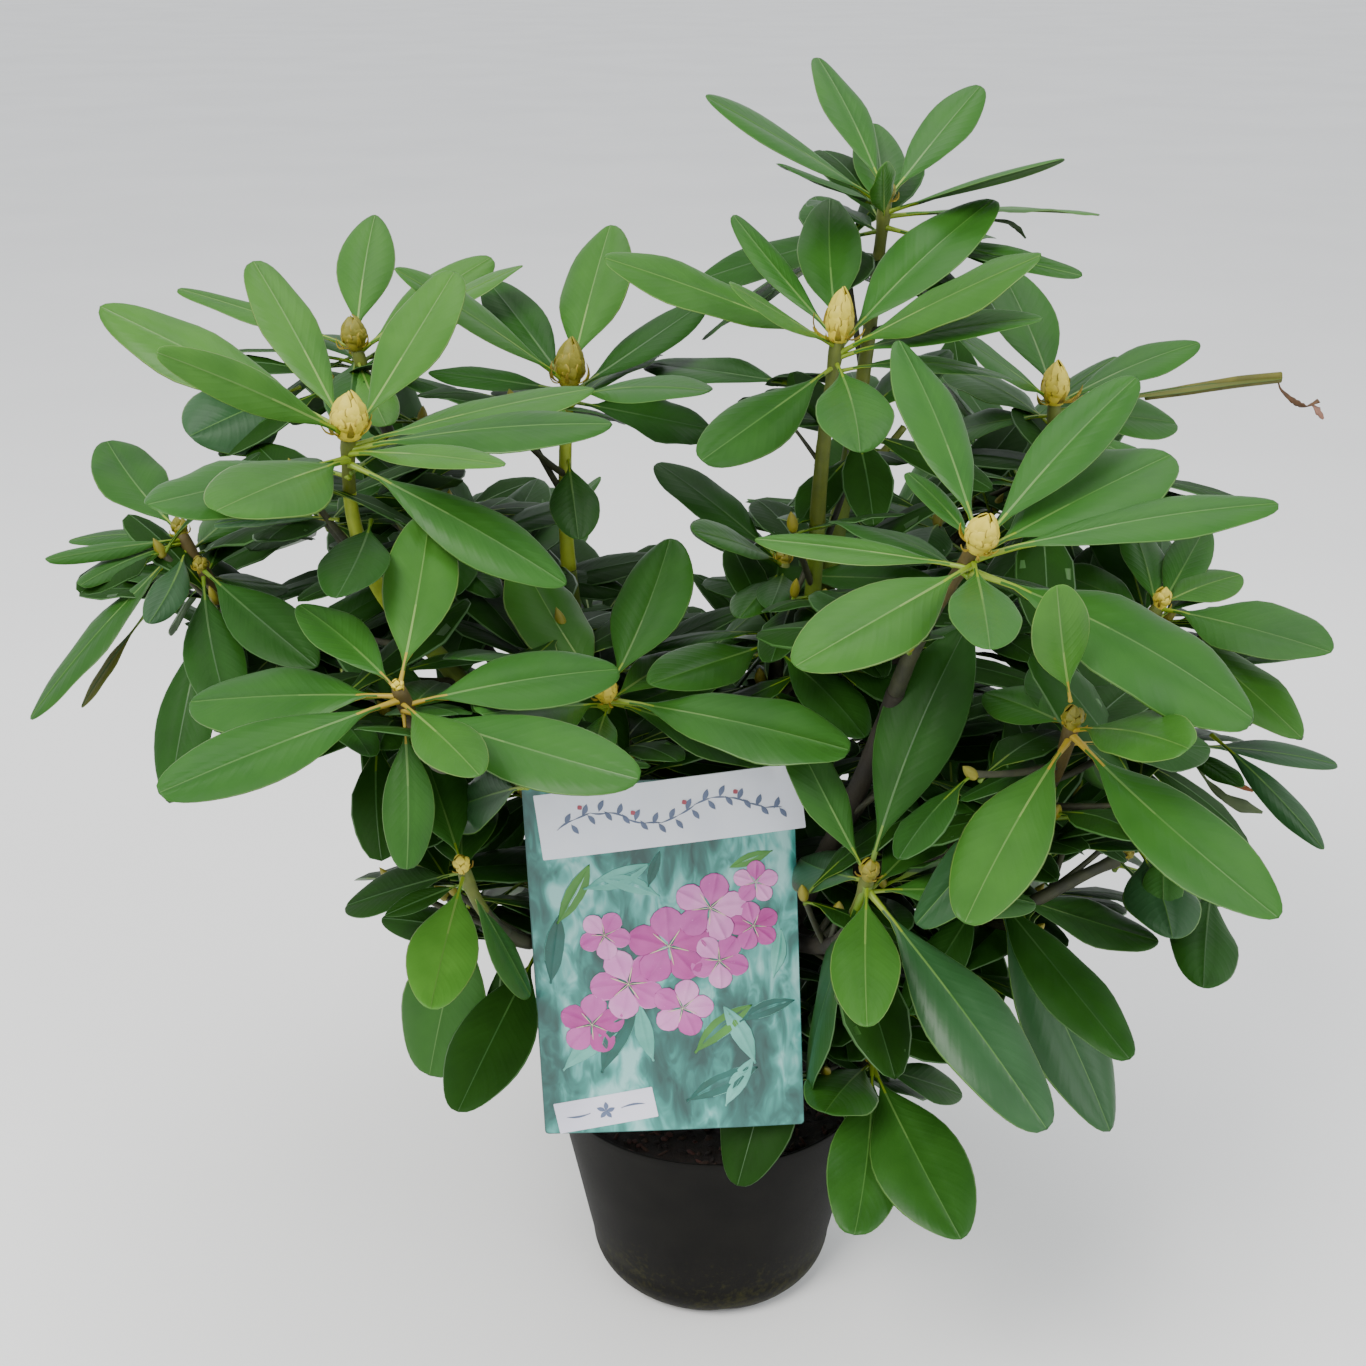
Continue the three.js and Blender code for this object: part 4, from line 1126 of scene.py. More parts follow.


# Leaf finishes and what each spray wears.

# Each tone: the blade's two colours, its roughness, the trim of its rib and margin, and its sheen.
# The tones paint light and shade on one leaf green. Pale and bright are leaves in full light, pale with a
# painted greyish sheen. Mid, deep, dark and shade are steps of painted shade further into the crown. The
# bluish-grey tone is a painted sky reflection. Fresh (young, yellow-green) and olive (old) are the leaves'
# own colours.
litAndShadedTones = {
    "pale": (("#37641f", "#406f23"), 0.4, "pale", 0.22),
    "bright": (("#305c1b", "#37661f"), 0.4, "pale", 0.22),
    "mid": (("#285519", "#2e5d1b"), 0.4, "mid", 0.22),
    "cool": (("#234823", "#294f29"), 0.36, "mid", 0.3),
    "deep": (("#234c15", "#2a5618"), 0.38, "mid", 0.2),
    "dark": (("#1c4110", "#214a13"), 0.42, "dull", 0.14),
    "shade": (("#163409", "#1b3d0c"), 0.5, "dull", 0.08),
    "fresh": (("#3d6e22", "#4a7d2a"), 0.4, "pale", 0.22),
    "olive": (("#4a5019", "#565a22"), 0.44, "dull", 0.2),
}
# Rib, vein, margin and underside colours come in lit (Pale), part-shaded (Mid) and shaded (Dull) copies,
# painted light and shade; the stalk colours are the stalks' own.
litAndShadedTrims = {
    "ribPale": ("#65853a", 0.42), "ribMid": ("#4f7430", 0.42), "ribDull": ("#33591f", 0.44),
    "veinPale": ("#4d752b", 0.42), "veinMid": ("#3d6822", 0.42), "veinDull": ("#264e18", 0.44),
    "marginPale": ("#5b7d30", 0.42), "marginMid": ("#456d26", 0.42), "marginDull": ("#2f581d", 0.44),
    "underPale": ("#54703a", 0.6), "underMid": ("#3c5a30", 0.6), "underDull": ("#2c4823", 0.6),
    "stalkYellow": ("#738a18", 0.45), "stalkTan": ("#95801c", 0.5), "stalkGreen": ("#567312", 0.45),
}
leafMaterials, leafSlots = [], {}
for name, (colours, smooth, _, sheen) in litAndShadedTones.items():
    leafSlots[name] = len(leafMaterials)
    leafMaterials.append(leafy("leaf" + name.capitalize(), colours, 0.45, smooth - 0.06, 0.22,
                               **{"Specular IOR Level": sheen}))
for name, (colour, smooth) in litAndShadedTrims.items():
    leafSlots[name] = len(leafMaterials)
    leafMaterials.append(leafy("leaf" + name[0].upper() + name[1:], (colour,), 0.0, smooth - 0.08, 0.2, 0.08))

# The three tones each mass deals out in turn: lit tones for the high, open masses and shade tones for the
# low, inner and back ones, painted light and shade; fresh is the young leaves' own colour.
massLitAndShadedTones = {
    "west_high": ("pale", "bright", "bright"), "west_back": ("pale", "bright", "pale"),
    "centre_left": ("mid", "bright", "mid"), "far_west": ("mid", "deep", "mid"),
    "front_west": ("mid", "bright", "mid"), "front_centre": ("mid", "bright", "mid"),
    "low_west": ("mid", "fresh", "deep"), "crown_top": ("mid", "bright", "mid"),
    "crown_front": ("bright", "pale", "mid"), "east_high": ("mid", "bright", "mid"),
    "front_east": ("bright", "mid", "pale"), "far_east": ("mid", "bright", "mid"),
    "front_east_low": ("mid", "bright", "mid"), "low_centre": ("deep", "mid", "deep"),
    "low_east": ("mid", "fresh", "deep"), "inner": ("deep", "dark", "mid"),
    "low_far_east": ("deep", "dark", "mid"), "back_west": ("deep", "mid", "deep"),
    "back_east": ("deep", "mid", "deep"), "back_low": ("dark", "deep", "dark"),
}
tanStalks = ("front_west", "front_east_low")


# The slots of one leaf, by zone: its tone, then rib, margin, underside, stalk and outer rib to match.
# Fine leaves and unseen ones inside the crown take painted shade tones, and leaves with the dull trim (the
# shaded tones and olive) take the green stalk in place of the yellow.
def slotOf(leaf):
    tones = massLitAndShadedTones[leaf["owner"]]
    number = leaf["number"]
    if leaf.get("fine"):
        tones = ("shade", "dark", "shade")
    elif not leaf["seen"] and not leaf["owner"].startswith("back"):
        tones = ("dark", "deep", "shade")
    tone = leaf.get("tone") or tones[number % 3]
    trim = litAndShadedTones[tone][2].capitalize()
    stalk = "Green" if trim == "Dull" else "Yellow"
    if leaf["owner"] in tanStalks and leaf["seen"]:
        stalk = "Tan"
    parts = [part + trim for part in ("rib", "margin", "under")]
    return [leafSlots[key] for key in (tone, *parts, "stalk" + stalk, "vein" + trim)]


for number, leaf in enumerate(leaves):
    leaf["number"] = number

leafPieces = {
    "leavesWest": ("west_high", "west_back", "far_west"),
    "leavesFrontWest": ("front_west", "front_centre", "low_west", "centre_left"),
    "leavesTop": ("crown_top", "crown_front", "inner"),
    "leavesEast": ("east_high", "front_east", "far_east", "front_east_low"),
    "leavesLow": ("low_centre", "low_east", "low_far_east"),
    "leavesBack": ("back_west", "back_east", "back_low"),
}
for seed, (piece, owners) in enumerate(leafPieces.items()):
    heap = newHeap()
    worn = [leaf for leaf in leaves if leaf["owner"] in owners]
    pourLeaves(heap, [leaf for leaf in worn if not leaf.get("fine")], leafShape, slotOf, seed)
    pourLeaves(heap, [leaf for leaf in worn if leaf.get("fine")], fineShape, slotOf, 50 + seed)
    makePiece(piece, heap, leafMaterials, ["foliage_" + owner for owner in owners])


# Bark: the trunk and boughs as one skin of ridges each.

bark = {
    "trunkSides": 72, "trunkRows": 60, "boughSides": 28, "boughStep": 4.0,
    "ridge": 0.9, "ridgeCell": (2.4, 14), "crack": 0.5, "knot": 1.1, "scarEvery": 17,
    "greenFrom": 0.55,  # how far up the bare stems the bark is still green
}


# Radius along a limb: taper · (1 + slow lumps) + ridges drawn out along the grain + rings of old
# leaf scars, exp(-((s - place) / 1.6)²), each only part of the way round.
def barkRadii(path, base, sides, seed, relief, scarEvery):
    run = runOf(path)[:, None]
    angle = fullTurn(sides)[None]
    skin = np.stack(np.broadcast_arrays(9 * np.cos(angle), 9 * np.sin(angle), run), -1)
    cell = bark["ridgeCell"]
    grain = lumps(skin / (cell[0], cell[0], cell[1]), 1, seed) - 0.5
    fine = lumps(skin / (1.3, 1.3, 5), 1, seed + 3) - 0.5
    slow = lumps(skin, 16, seed + 5) - 0.5
    chance = np.random.default_rng(seed)
    places = np.arange(scarEvery, run[-1, 0], scarEvery)
    places = places + chance.uniform(-4, 4, len(places))
    facing = chance.uniform(0, 6.3, len(places))
    near = np.exp(-((run[..., None] - places) / 1.6) ** 2)
    scars = (near * np.clip(np.cos(angle[..., None] - facing), 0, 1) ** 0.7).sum(-1) * bark["knot"]
    return base * (1 + 0.08 * slow) + relief * (bark["ridge"] * grain + bark["crack"] * fine + scars)


heap = newHeap()
share = np.linspace(0, 1, bark["trunkRows"])
path = placeAlong(limbs["trunk"], share)
angle = fullTurn(bark["trunkSides"])
height = trunk["top"][2] - trunk["soil"]
flare = trunk["flare"] * np.exp(-share * height / trunk["flareHeight"])[:, None] * (
    0.55 + 0.35 * np.cos(trunk["lobes"] * angle + 0.4))
taper = np.interp(share, (0, 1), limbRadii["trunk"])[:, None]
radii = barkRadii(path, taper + flare, bark["trunkSides"], 2, 1.0, 23)
pour(heap, *tube(path, radii, bark["trunkSides"], 0.25))
# Old bark's own brown, darkened further as painted shade from the crown above.
barkMaterial = mottled("barkOldShaded", ("#302512", "#21190c", "#463a22"), (60, 700), 0.5, 0.75, 0.2, 0.12)
makePiece("trunkBark", heap, [barkMaterial], ["trunk"])

heap = newHeap()
for seed, name in enumerate(boughTable):
    curve = limbs[name]
    rows = int(curve["length"] / bark["boughStep"]) + 6
    share = np.linspace(0, 1, rows)
    path = placeAlong(curve, share)
    base = np.interp(share, (0, 1), limbRadii[name])[:, None]
    collar = 1.6 * np.exp(-share * curve["length"] / 9)[:, None]  # the fork's swelling
    radii = barkRadii(path, base + collar, bark["boughSides"], 10 + seed, 0.45, bark["scarEvery"])
    points, faces, places = tube(path, radii, bark["boughSides"], 0.25)
    green = (np.repeat(share[:-1], bark["boughSides"]) > bark["greenFrom"]) & (name in bareStems)
    pour(heap, points, faces, places, [green.astype(int), 0])
boughMaterials = [
    mottled("barkShade", ("#241f0c", "#1a160a", "#38311a"), (45, 800), 0.25, 0.7, 0.2, 0.1),
    mottled("barkYoung", ("#54690d", "#46580a", "#665c14"), (45, 800), 0.25, 0.6, 0.2, 0.1),
]
makePiece("boughBark", heap, boughMaterials, ["bough_" + name for name in boughTable])
print("bark laid")


# Twigs: the shoots that carry the whorls, and the fine ones in the shade.

twigStyle = {
    "sides": 14, "rows": 26, "shade": 0.6, "radii": (4.4, 3.0), "whorl": 0.9, "fineSides": 8, "fineRows": 9,
    "yellow": ("front_centre", "centre_left"),
    "brown": ("front_west", "far_west", "front_east", "front_east_low"), "dim": ("low_far_east", "low_east"),
    "lime": ("west_high", "centre_left"), "limeUpTo": 0.72,
}
twigMaterials = [
    mottled("twigGreen", ("#545e0b", "#475208", "#665a14"), (120, 900), 0.15, 0.5, 0.2),
    mottled("twigYellow", ("#869308", "#75830a", "#7d7616"), (120, 900), 0.15, 0.48, 0.2),
    mottled("twigBrown", ("#4a3d08", "#3c3206", "#544a14"), (120, 900), 0.2, 0.6, 0.2),
    mottled("twigShade", ("#33351a", "#242613", "#3f4024"), (120, 900), 0.15, 0.6, 0.2),
    mottled("twigLime", ("#9fae2a", "#8b9c22", "#969634"), (120, 900), 0.15, 0.48, 0.2),
]
heap = newHeap()
fineHeap = newHeap()
shoots = [shoot for group in massTable.values() for shoot in group]
for seed, shoot in enumerate(shoots):
    share = np.linspace(0, 1, twigStyle["rows"])
    path = placeAlong(shoot["curve"], share)
    run = share * shoot["curve"]["length"]
    left = shoot["curve"]["length"] - run
    base = np.interp(share, (0, 1), twigStyle["radii"]) + twigStyle["whorl"] * np.exp(-((left - 8) / 7) ** 2)
    radii = barkRadii(path, base[:, None], twigStyle["sides"], 60 + seed, 0.28, 11)
    kind = 0
    for slot, key in enumerate(("yellow", "brown", "dim"), 1):
        kind = slot if shoot["owner"] in twigStyle[key] else kind
    foot, upTo = (kind if shoot["owner"] in bareStems else 3), twigStyle["shade"]
    if shoot["owner"] in twigStyle["lime"]:
        foot, upTo = 4, twigStyle["limeUpTo"]
    slots = np.where(np.repeat(share[:-1], twigStyle["sides"]) < upTo, foot, kind)
    pour(heap, *tube(path, radii, twigStyle["sides"]), [slots, kind])
for seed, twiglet in enumerate(twiglets):
    share = np.linspace(0, 1, twigStyle["fineRows"])
    path = placeAlong(twiglet["curve"], share)
    base = np.interp(share, (0, 1), finer["radius"]) + 0.5 * np.exp(-((1 - share) / 0.12) ** 2)
    pour(fineHeap, *tube(path, base, twigStyle["fineSides"]), slots=3)


# Bare twigs that have lost their leaves: the limb, the share where each stands on it, its end as a pixel
# and a depth, its radii and its slot.
spareTwigs = (
    (massTable["crown_front"][0]["curve"], 0.34, (796, 430, -56), (1.5, 0.9), 3),
    (limbs["crown_top"], 0.9, (904, 427, 30), (2.6, 2.1), 0),
)
for number, (limb, at, end, radii, slot) in enumerate(spareTwigs):
    share = np.linspace(0, 1, 14)
    start = placeAlong(limb, np.array([at]))
    path = start + share[:, None] * (np.round(sighted(*end)) - start)
    path = path + 2.5 * np.sin(math.pi * share)[:, None] * triple(0.6, 0, -0.8)
    base = np.interp(share, (0, 1), radii)[:, None] + 0.8 * np.exp(-share / 0.1)[:, None]
    pour(fineHeap, *tube(path, barkRadii(path, base, 10, 200 + number, 0.15, 11), 10), slots=slot)
foliageNodes = ["foliage_" + name for name in massTable]
makePiece("twigs", heap, twigMaterials, foliageNodes)
makePiece("fineTwigs", fineHeap, twigMaterials, foliageNodes)


# Buds: an egg of overlapping scales, with narrow bracts round its foot.

budStyle = {
    "coreSides": 14, "coreRows": 10, "scales": 13, "smallScales": 7, "bracts": 7,
    "curly": ("crown_front", "east_high"),
    "gold": (
        "west_high", "low_west", "crown_front", "front_east", "far_east", "front_west", "east_high",
        "front_centre"),
}
budMaterials = [
    mottled("budGold", ("#cdba3a", "#bfae34", "#b79c3c"), (90, 900), 0.12, 0.45, 0.2),
    mottled("budOlive", ("#78710d", "#6b680c", "#846f16"), (90, 900), 0.12, 0.48, 0.2),
    mottled("budEdge", ("#a38f26", "#8f7f20", "#ab9634"), (90, 900), 0.12, 0.6, 0.2),
    mottled("bractTan", ("#948418", "#7a6414", "#a09230"), (90, 900), 0.12, 0.6, 0.2),
]
scaleShape = {
    "rows": 9, "stalk": 0.02, "stalkRadius": 0.012, "skew": 0.85, "thickness": 0.55, "rib": (0.25, 0.12),
    "ribRaise": 0.12, "ribDrop": (0.2, 0.1), "fold": (0.0, 0.02), "curl": (0.42, 0.5), "wave": (0.0, 0.03),
    "twist": 4, "bend": 0.01, "droop": 0.01, "point": (0.75, 0.95), **coarse,
}
bractShape = dict(
    scaleShape, curl=(0.2, 0.4), twist=25, bend=0.1, droop=0.08, point=(0.9, 1.0), wave=(0.05, 0.15))


# The egg's radius at share s of its height: r · sin(π · min(0.26 + 0.74 s, 1))^0.95, pointed at the top.
def eggRadius(radius, s):
    return radius * np.sin(math.pi * np.minimum(0.26 + 0.74 * s, 0.999)) ** 0.95


# A small leaf for scales, bracts and prints: its own slot and that of its margin.
def flake(ends, light, width, arch, kind, edge):
    return {"root": ends[0], "tip": ends[1], "roll": 0, "turn": 1.0, "light": light, "width": width,
            "arch": arch, "kind": kind, "edge": edge}


# The direction out from a bud's axis at an angle round it.
def outFrom(axis, angle):
    level = unit(np.cross(axis, triple(0.3, 1, 0)))
    return level * math.cos(angle) + np.cross(axis, level) * math.sin(angle)


# A scale is a small cupped leaf on the egg: root low, tip higher up, and its arch follows the swell.
def budScales(shoot, count, gold):
    radius, height = shoot["bud"]
    axis = shoot["axis"]
    scales = []
    for k in range(count):
        outward = outFrom(axis, math.radians(137.5 * k))
        high = 0.42 + 0.6 * k / count
        low = max(0.0, high - 0.5)
        ends = [shoot["place"] + axis * height * s + outward * (eggRadius(radius, s) * grow + 0.1)
                for s, grow in ((low, 0.95), (high, 1.01))]
        halfway = eggRadius(radius, (low + high) / 2) - (eggRadius(radius, low) + eggRadius(radius, high)) / 2
        length = np.linalg.norm(ends[1] - ends[0])
        girth = max(eggRadius(radius, (low + high) / 2), 0.3 * radius)
        arch = (halfway + 0.5) / length
        scales.append(flake(ends, outward, 2.0 * girth / length, arch, 0 if gold else 1, 2))
    return scales


def budBracts(shoot, count, curly, chance):
    radius, height = shoot["bud"]
    axis = shoot["axis"]
    bracts = []
    for k in range(count):
        outward = outFrom(axis, 2 * math.pi * (k + chance.random()) / count)
        reach = radius * chance.uniform(1.2, 2.4 if curly else 1.7)
        root = shoot["place"] - axis * 1.5 + outward * radius * 0.55
        tip = shoot["place"] + outward * reach + axis * height * chance.uniform(0.05, 0.5)
        bracts.append(flake((root, tip), axis - outward, 0.24, chance.uniform(-0.3, -0.1), 3, 3))
    return bracts


def budSlots(scale):
    return [scale["edge"] if zone == marginZone else scale["kind"] for zone in range(6)]


heap = newHeap()
bractHeap = newHeap()
chance = np.random.default_rng(19)
for shoot in shoots + twiglets:
    radius, height = shoot["bud"]
    share = np.linspace(0, 1, budStyle["coreRows"])
    core = shoot["place"] + shoot["axis"] * (share[:, None] * (height + 2) - 3)
    gold = shoot["owner"] in budStyle["gold"] and not shoot.get("fine")
    shape = tube(core, 0.93 * eggRadius(radius, share * 0.995), budStyle["coreSides"], 0.5)
    pour(heap, *shape, slots=0 if gold else 1)
    if not shoot.get("fine"):
        large = radius > 5
        pourLeaves(heap, budScales(shoot, budStyle["scales"] if large else budStyle["smallScales"], gold),
                   scaleShape, budSlots, int(radius * 10))
        curly = shoot["owner"] in budStyle["curly"]
        count = budStyle["bracts"] + (4 if curly else 0) if large else 4
        pourLeaves(bractHeap, budBracts(shoot, count, curly, chance), bractShape, budSlots, int(height))
makePiece("buds", heap, budMaterials, foliageNodes)
makePiece("bracts", bractHeap, budMaterials, foliageNodes)
print("buds set")


# Points seen at some pixels and depths, to the millimetre.
def sightedPath(*picks):
    return tuple(np.round(sighted(*pick)) for pick in picks)


# Dried leaves: flat strips whose section turns as they go, so they curl. Along the path the radius in
# the direction θ is a·b / √((b cos(θ - φ))² + (a sin(θ - φ))²), an ellipse of half width a and half
# thickness b.
driedStrips = (
    {"path": ((253, 65, 563), (280, 67, 567), (308, 69, 571), (334, 72, 573)), "half": (2.2, 3.4, 3.7, 3.4),
     "thick": 1.7, "turn": (70, 95), "slot": 0},
    {"path": ((332, 72, 572), (334, 72, 566), (341, 72, 560), (346, 72, 557), (351, 72, 555), (358, 72, 559)),
     "half": (0.8, 1.0, 1.6, 2.4, 3.2, 2.2), "thick": 0.5, "turn": (0, 200), "slot": 1},
    {"path": ((354, 72, 557), (358, 71, 553), (362, 72, 548)), "half": (1.2, 3.6, 0.8), "thick": 0.5,
     "turn": (20, 70), "slot": 2},
    {"path": sightedPath(
        (1186, 748, 9), (1208, 768, -4), (1226, 779, -14), (1242, 787, -20), (1253, 792, -22)),
     "half": (0.8, 0.8, 2.6, 3.4, 1.2), "thick": 0.6, "turn": (60, 120), "slot": 3},
    {"path": sightedPath(
        (1186, 750, 9), (1206, 782, 0), (1224, 798, -8), (1244, 807, -12), (1262, 812, -14)),
     "half": (0.8, 0.9, 4.6, 4.8, 1.0), "thick": 0.6, "turn": (60, 100), "slot": 4},
    {"path": ((140, 28, 670), (150, 30, 670), (160, 30, 669), (166, 30, 665), (170, 30, 660)),
     "half": (0.6, 0.9, 1.3, 1.7, 0.6), "thick": 0.5, "turn": (0, 150), "slot": 5},
)
driedMaterials = [
    mottled("driedOlive", ("#5c5a10", "#4a4a0c", "#6b5a1c"), (90, 900), 0.3, 0.6, 0.2),
    mottled("driedBrown", ("#5d3f1f", "#432c15", "#76583a"), (90, 900), 0.3, 0.7, 0.2),
    mottled("driedPink", ("#8f6a58", "#74503f", "#a98a78"), (90, 900), 0.3, 0.7, 0.2),
    mottled("driedOrange", ("#7d4412", "#5c2f0c", "#96642a"), (90, 900), 0.3, 0.6, 0.2),
    mottled("driedGrey", ("#4c5c33", "#3d4c2a", "#665f3a"), (90, 900), 0.3, 0.6, 0.2),
    mottled("driedGreen", ("#2c421a", "#233614", "#3a4a22"), (90, 900), 0.3, 0.6, 0.2),
]
heap = newHeap()
for strip in driedStrips:
    share = np.linspace(0, 1, 30)
    knots = np.linspace(0, 1, len(strip["path"]))
    path = np.stack([np.interp(share, knots, axis) for axis in np.array(strip["path"], float).T], -1)
    for _ in range(3):
        path[1:-1] = (path[:-2] + 2 * path[1:-1] + path[2:]) / 4
    wide = np.interp(share, knots, strip["half"])[:, None]
    angle = fullTurn(16) - np.radians(np.interp(share, (0, 1), strip["turn"]))[:, None]
    thin = strip["thick"]
    radii = wide * thin / np.hypot(thin * np.cos(angle), wide * np.sin(angle))
    pour(heap, *tube(path, radii, 16, 0.1), slots=strip["slot"])
driedNodes = ["foliage_" + name for name in ("east_high", "far_east", "crown_top")]
makePiece("driedLeaves", heap, driedMaterials, driedNodes)


# The pot, turned as one closed skin, and the soil with its chips.

pot = {
    "height": 140, "rimRadius": 100.5, "footRadius": 57, "edgeWidth": 21, "edgeHeight": 25,
    "wall": 2.0, "floor": 3, "sides": 160,
    "notchAt": -84, "notchWidth": 5, "notchDepth": 2.2,
}


def wallRadius(rise):
    foot = pot["footRadius"] + pot["edgeWidth"]
    return foot + (pot["rimRadius"] - foot) * (rise - pot["edgeHeight"]) / (pot["height"] - pot["edgeHeight"])


# The outer wall: a flat foot, a rounded edge as a quarter ellipse, then a straight slope to the rim.
# The inner wall is the same line moved in by the wall.
def potLine():
    turn = np.linspace(0, math.pi / 2, 14)
    edge = np.stack([pot["footRadius"] + pot["edgeWidth"] * np.sin(turn),
                     pot["edgeHeight"] * (1 - np.cos(turn))], -1)
    rise = np.linspace(pot["edgeHeight"], pot["height"] - 1, 26)[1:]
    outer = np.stack([wallRadius(rise), rise], -1)
    lip = (pot["rimRadius"], pot["height"]) - np.array([[0.2, 0.3], [0.7, 0], [1.5, 0], [pot["wall"], 0.6]])
    inside = np.concatenate([outer, edge])
    inside = inside[np.argsort(-inside[:, 1], kind="stable")]
    inside = inside[inside[:, 1] < pot["height"] - 3] + (-pot["wall"], pot["floor"] * 0.6)
    floor = np.array([[r, pot["floor"]] for r in (50, 25)])
    under = np.array([[r, 0.0] for r in (20, 40, 54)])
    inside = inside[inside[:, 1] > pot["floor"] + 0.5]
    return np.concatenate([under, edge, outer, lip, inside, floor])


heap = newHeap()
line = potLine()
angle = fullTurn(pot["sides"])
radius = np.broadcast_to(line[:, :1], (len(line), pot["sides"])).copy()
height = np.broadcast_to(line[:, 1:], (len(line), pot["sides"])).copy()
ring = np.cos(angle)[None], np.sin(angle)[None]
wobble = lumps(np.stack(np.broadcast_arrays(60 * ring[0], 60 * ring[1], height), -1), 42, 7) - 0.5
radius += 0.8 * wobble * (height > 1) * (height < pot["height"] - 2)
away = (np.degrees(angle) - pot["notchAt"] + 180) % 360 - 180
notch = np.exp(-(away / pot["notchWidth"]) ** 2)[None]
onEdge = (np.arange(len(line)) >= 3)[:, None] & (height < 9) & (np.arange(len(line)) < 17)[:, None]
height = height + np.where(onEdge, notch * pot["notchDepth"] * (1 - height / 9), 0)
points = np.stack([radius * ring[0], radius * ring[1], height], -1)
count = len(line) * pot["sides"]
quads = gridFaces(len(line), pot["sides"], closed=True)[:, ::-1]
tris = np.concatenate([fanFaces(np.arange(pot["sides"]), count),
                       fanFaces(np.arange(count - pot["sides"], count), count + 1, turned=True)])
points = np.concatenate([points.reshape(-1, 3), [(0, 0, 0), (0, 0, pot["floor"])]])
pour(heap, points, [quads, tris])


# Matt moulded plastic: faint noise in the wall, yellow-green dust that thickens towards the foot, and
# moss flecks where fine noise passes a threshold that falls with the height.
def potFinish():
    material, tree, shader = newMaterial("potPlastic", "#0d0c0a", 0.65, **{"Specular IOR Level": 0.1})
    node = dress(tree, shader, mottle, 0.12, mottleValues(
        ("#0b0a08", "#100f0c", "#23211a"), (40, 1500), 0.45, 0.22, 0.13))
    place = addNode(tree, "TexCoord").outputs["Object"]
    mapped = addNode(tree, "SeparateXYZ", {0: place})
    low = remap(tree, mapped.outputs["Z"], 0.075, 0.0, 0.34)
    specks = noise(tree, place, 260.0, 5.0, Roughness=0.65)
    clouds = noise(tree, place, 24.0, 3.0)
    total = maths(tree, "ADD", maths(tree, "MULTIPLY_ADD", clouds, 0.35, low), specks)
    moss = remap(tree, total, 0.88, 1.1, 0.75)
    feed(tree, shader.inputs["Base Color"], mixed(tree, moss, node.outputs["Colour"], linear("#2b2b10")))
    return material


makePiece("potShell", heap, [potFinish()], ["pot"])

# The lumps are pairs of height and cell.
soil = {
    "radius": 96.4, "top": 130, "depth": 60, "rings": 46, "sides": 120,
    "lumps": ((3.4, 17), (2.2, 5.5), (1.2, 2.2)), "chips": 420, "seed": 8,
}


# Soil level: top + broad lumps + fine crumbs, a little higher at the trunk and lower at the wall.
def soilLevel(x, y):
    spot = np.stack([x, y, np.zeros_like(x)], -1)
    far = np.hypot(x, y) / soil["radius"]
    rough = sum(high * (lumps(spot, cell, seed) - 0.5) for seed, (high, cell) in enumerate(soil["lumps"], 1))
    return soil["top"] + rough + 2.5 * np.exp(-(np.hypot(x - 4, y - 6) / 26) ** 2) - 1.5 * far ** 8


heap = newHeap()
ringShare = np.concatenate([np.linspace(0.02, 1, soil["rings"]), [1.0]])
angle = fullTurn(soil["sides"])
x = ringShare[:, None] * soil["radius"] * np.cos(angle)
y = ringShare[:, None] * soil["radius"] * np.sin(angle)
z = soilLevel(x, y)
z[-1] = soil["top"] - soil["depth"]
shrink = np.ones(len(ringShare))
shrink[-1] = (wallRadius(soil["top"] - soil["depth"]) - 3) / soil["radius"]
points = np.stack([x * shrink[:, None], y * shrink[:, None], z], -1).reshape(-1, 3)
count = len(ringShare) * soil["sides"]
middle = soilLevel(np.zeros(1), np.zeros(1))[0]
points = np.concatenate([points, [(0, 0, middle), (0, 0, soil["top"] - soil["depth"])]])
tris = np.concatenate([fanFaces(np.arange(soil["sides"]), count, turned=True),
                       fanFaces(np.arange(count - soil["sides"], count), count + 1)])
pour(heap, points, [gridFaces(len(ringShare), soil["sides"], closed=True), tris])
soilMaterial = mottled("soilDamp", ("#20140e", "#130d0a", "#3d2b20"), (220, 1400), 1.2, 0.85, 0.15, 0.16)
makePiece("soilBed", heap, [soilMaterial], ["soil"])


# Chips: small lumpy eggs, (a cos φ cos θ, b cos φ sin θ, c sin φ) · (1 + noise), strewn and sunk a
# little.
heap = newHeap()
chance = np.random.default_rng(soil["seed"])
count = soil["chips"]
phi, theta = np.meshgrid(np.linspace(-1.35, 1.35, 5), np.linspace(0, 2 * math.pi, 7)[:-1], indexing="ij")
size = chance.uniform((1.2, 0.8, 0.5), (4.6, 2.6, 1.5), (count, 3))
egg = np.stack([np.cos(phi) * np.cos(theta), np.cos(phi) * np.sin(theta), np.sin(phi)], -1).reshape(1, -1, 3)
chips = egg * (1 + 0.5 * (chance.random((count, egg.shape[1], 1)) - 0.5)) * size[:, None]
turn, tilt = chance.uniform(0, 6.3, (2, count, 1))
tilt = 0.5 * np.sin(tilt)
x, y, z = np.moveaxis(chips, -1, 0)
x, z = rotate(x, z, np.cos(tilt), np.sin(tilt))
x, y = rotate(x, y, np.cos(turn), np.sin(turn))
far = (soil["radius"] - 5) * np.sqrt(chance.random((count, 1)))
way = chance.uniform(0, 6.3, (count, 1))
midX, midY = far * np.cos(way), far * np.sin(way)
points = np.stack([x + midX, y + midY, z + soilLevel(midX, midY) + 0.4], -1)
size = points.shape[1]
ring = np.arange(6)
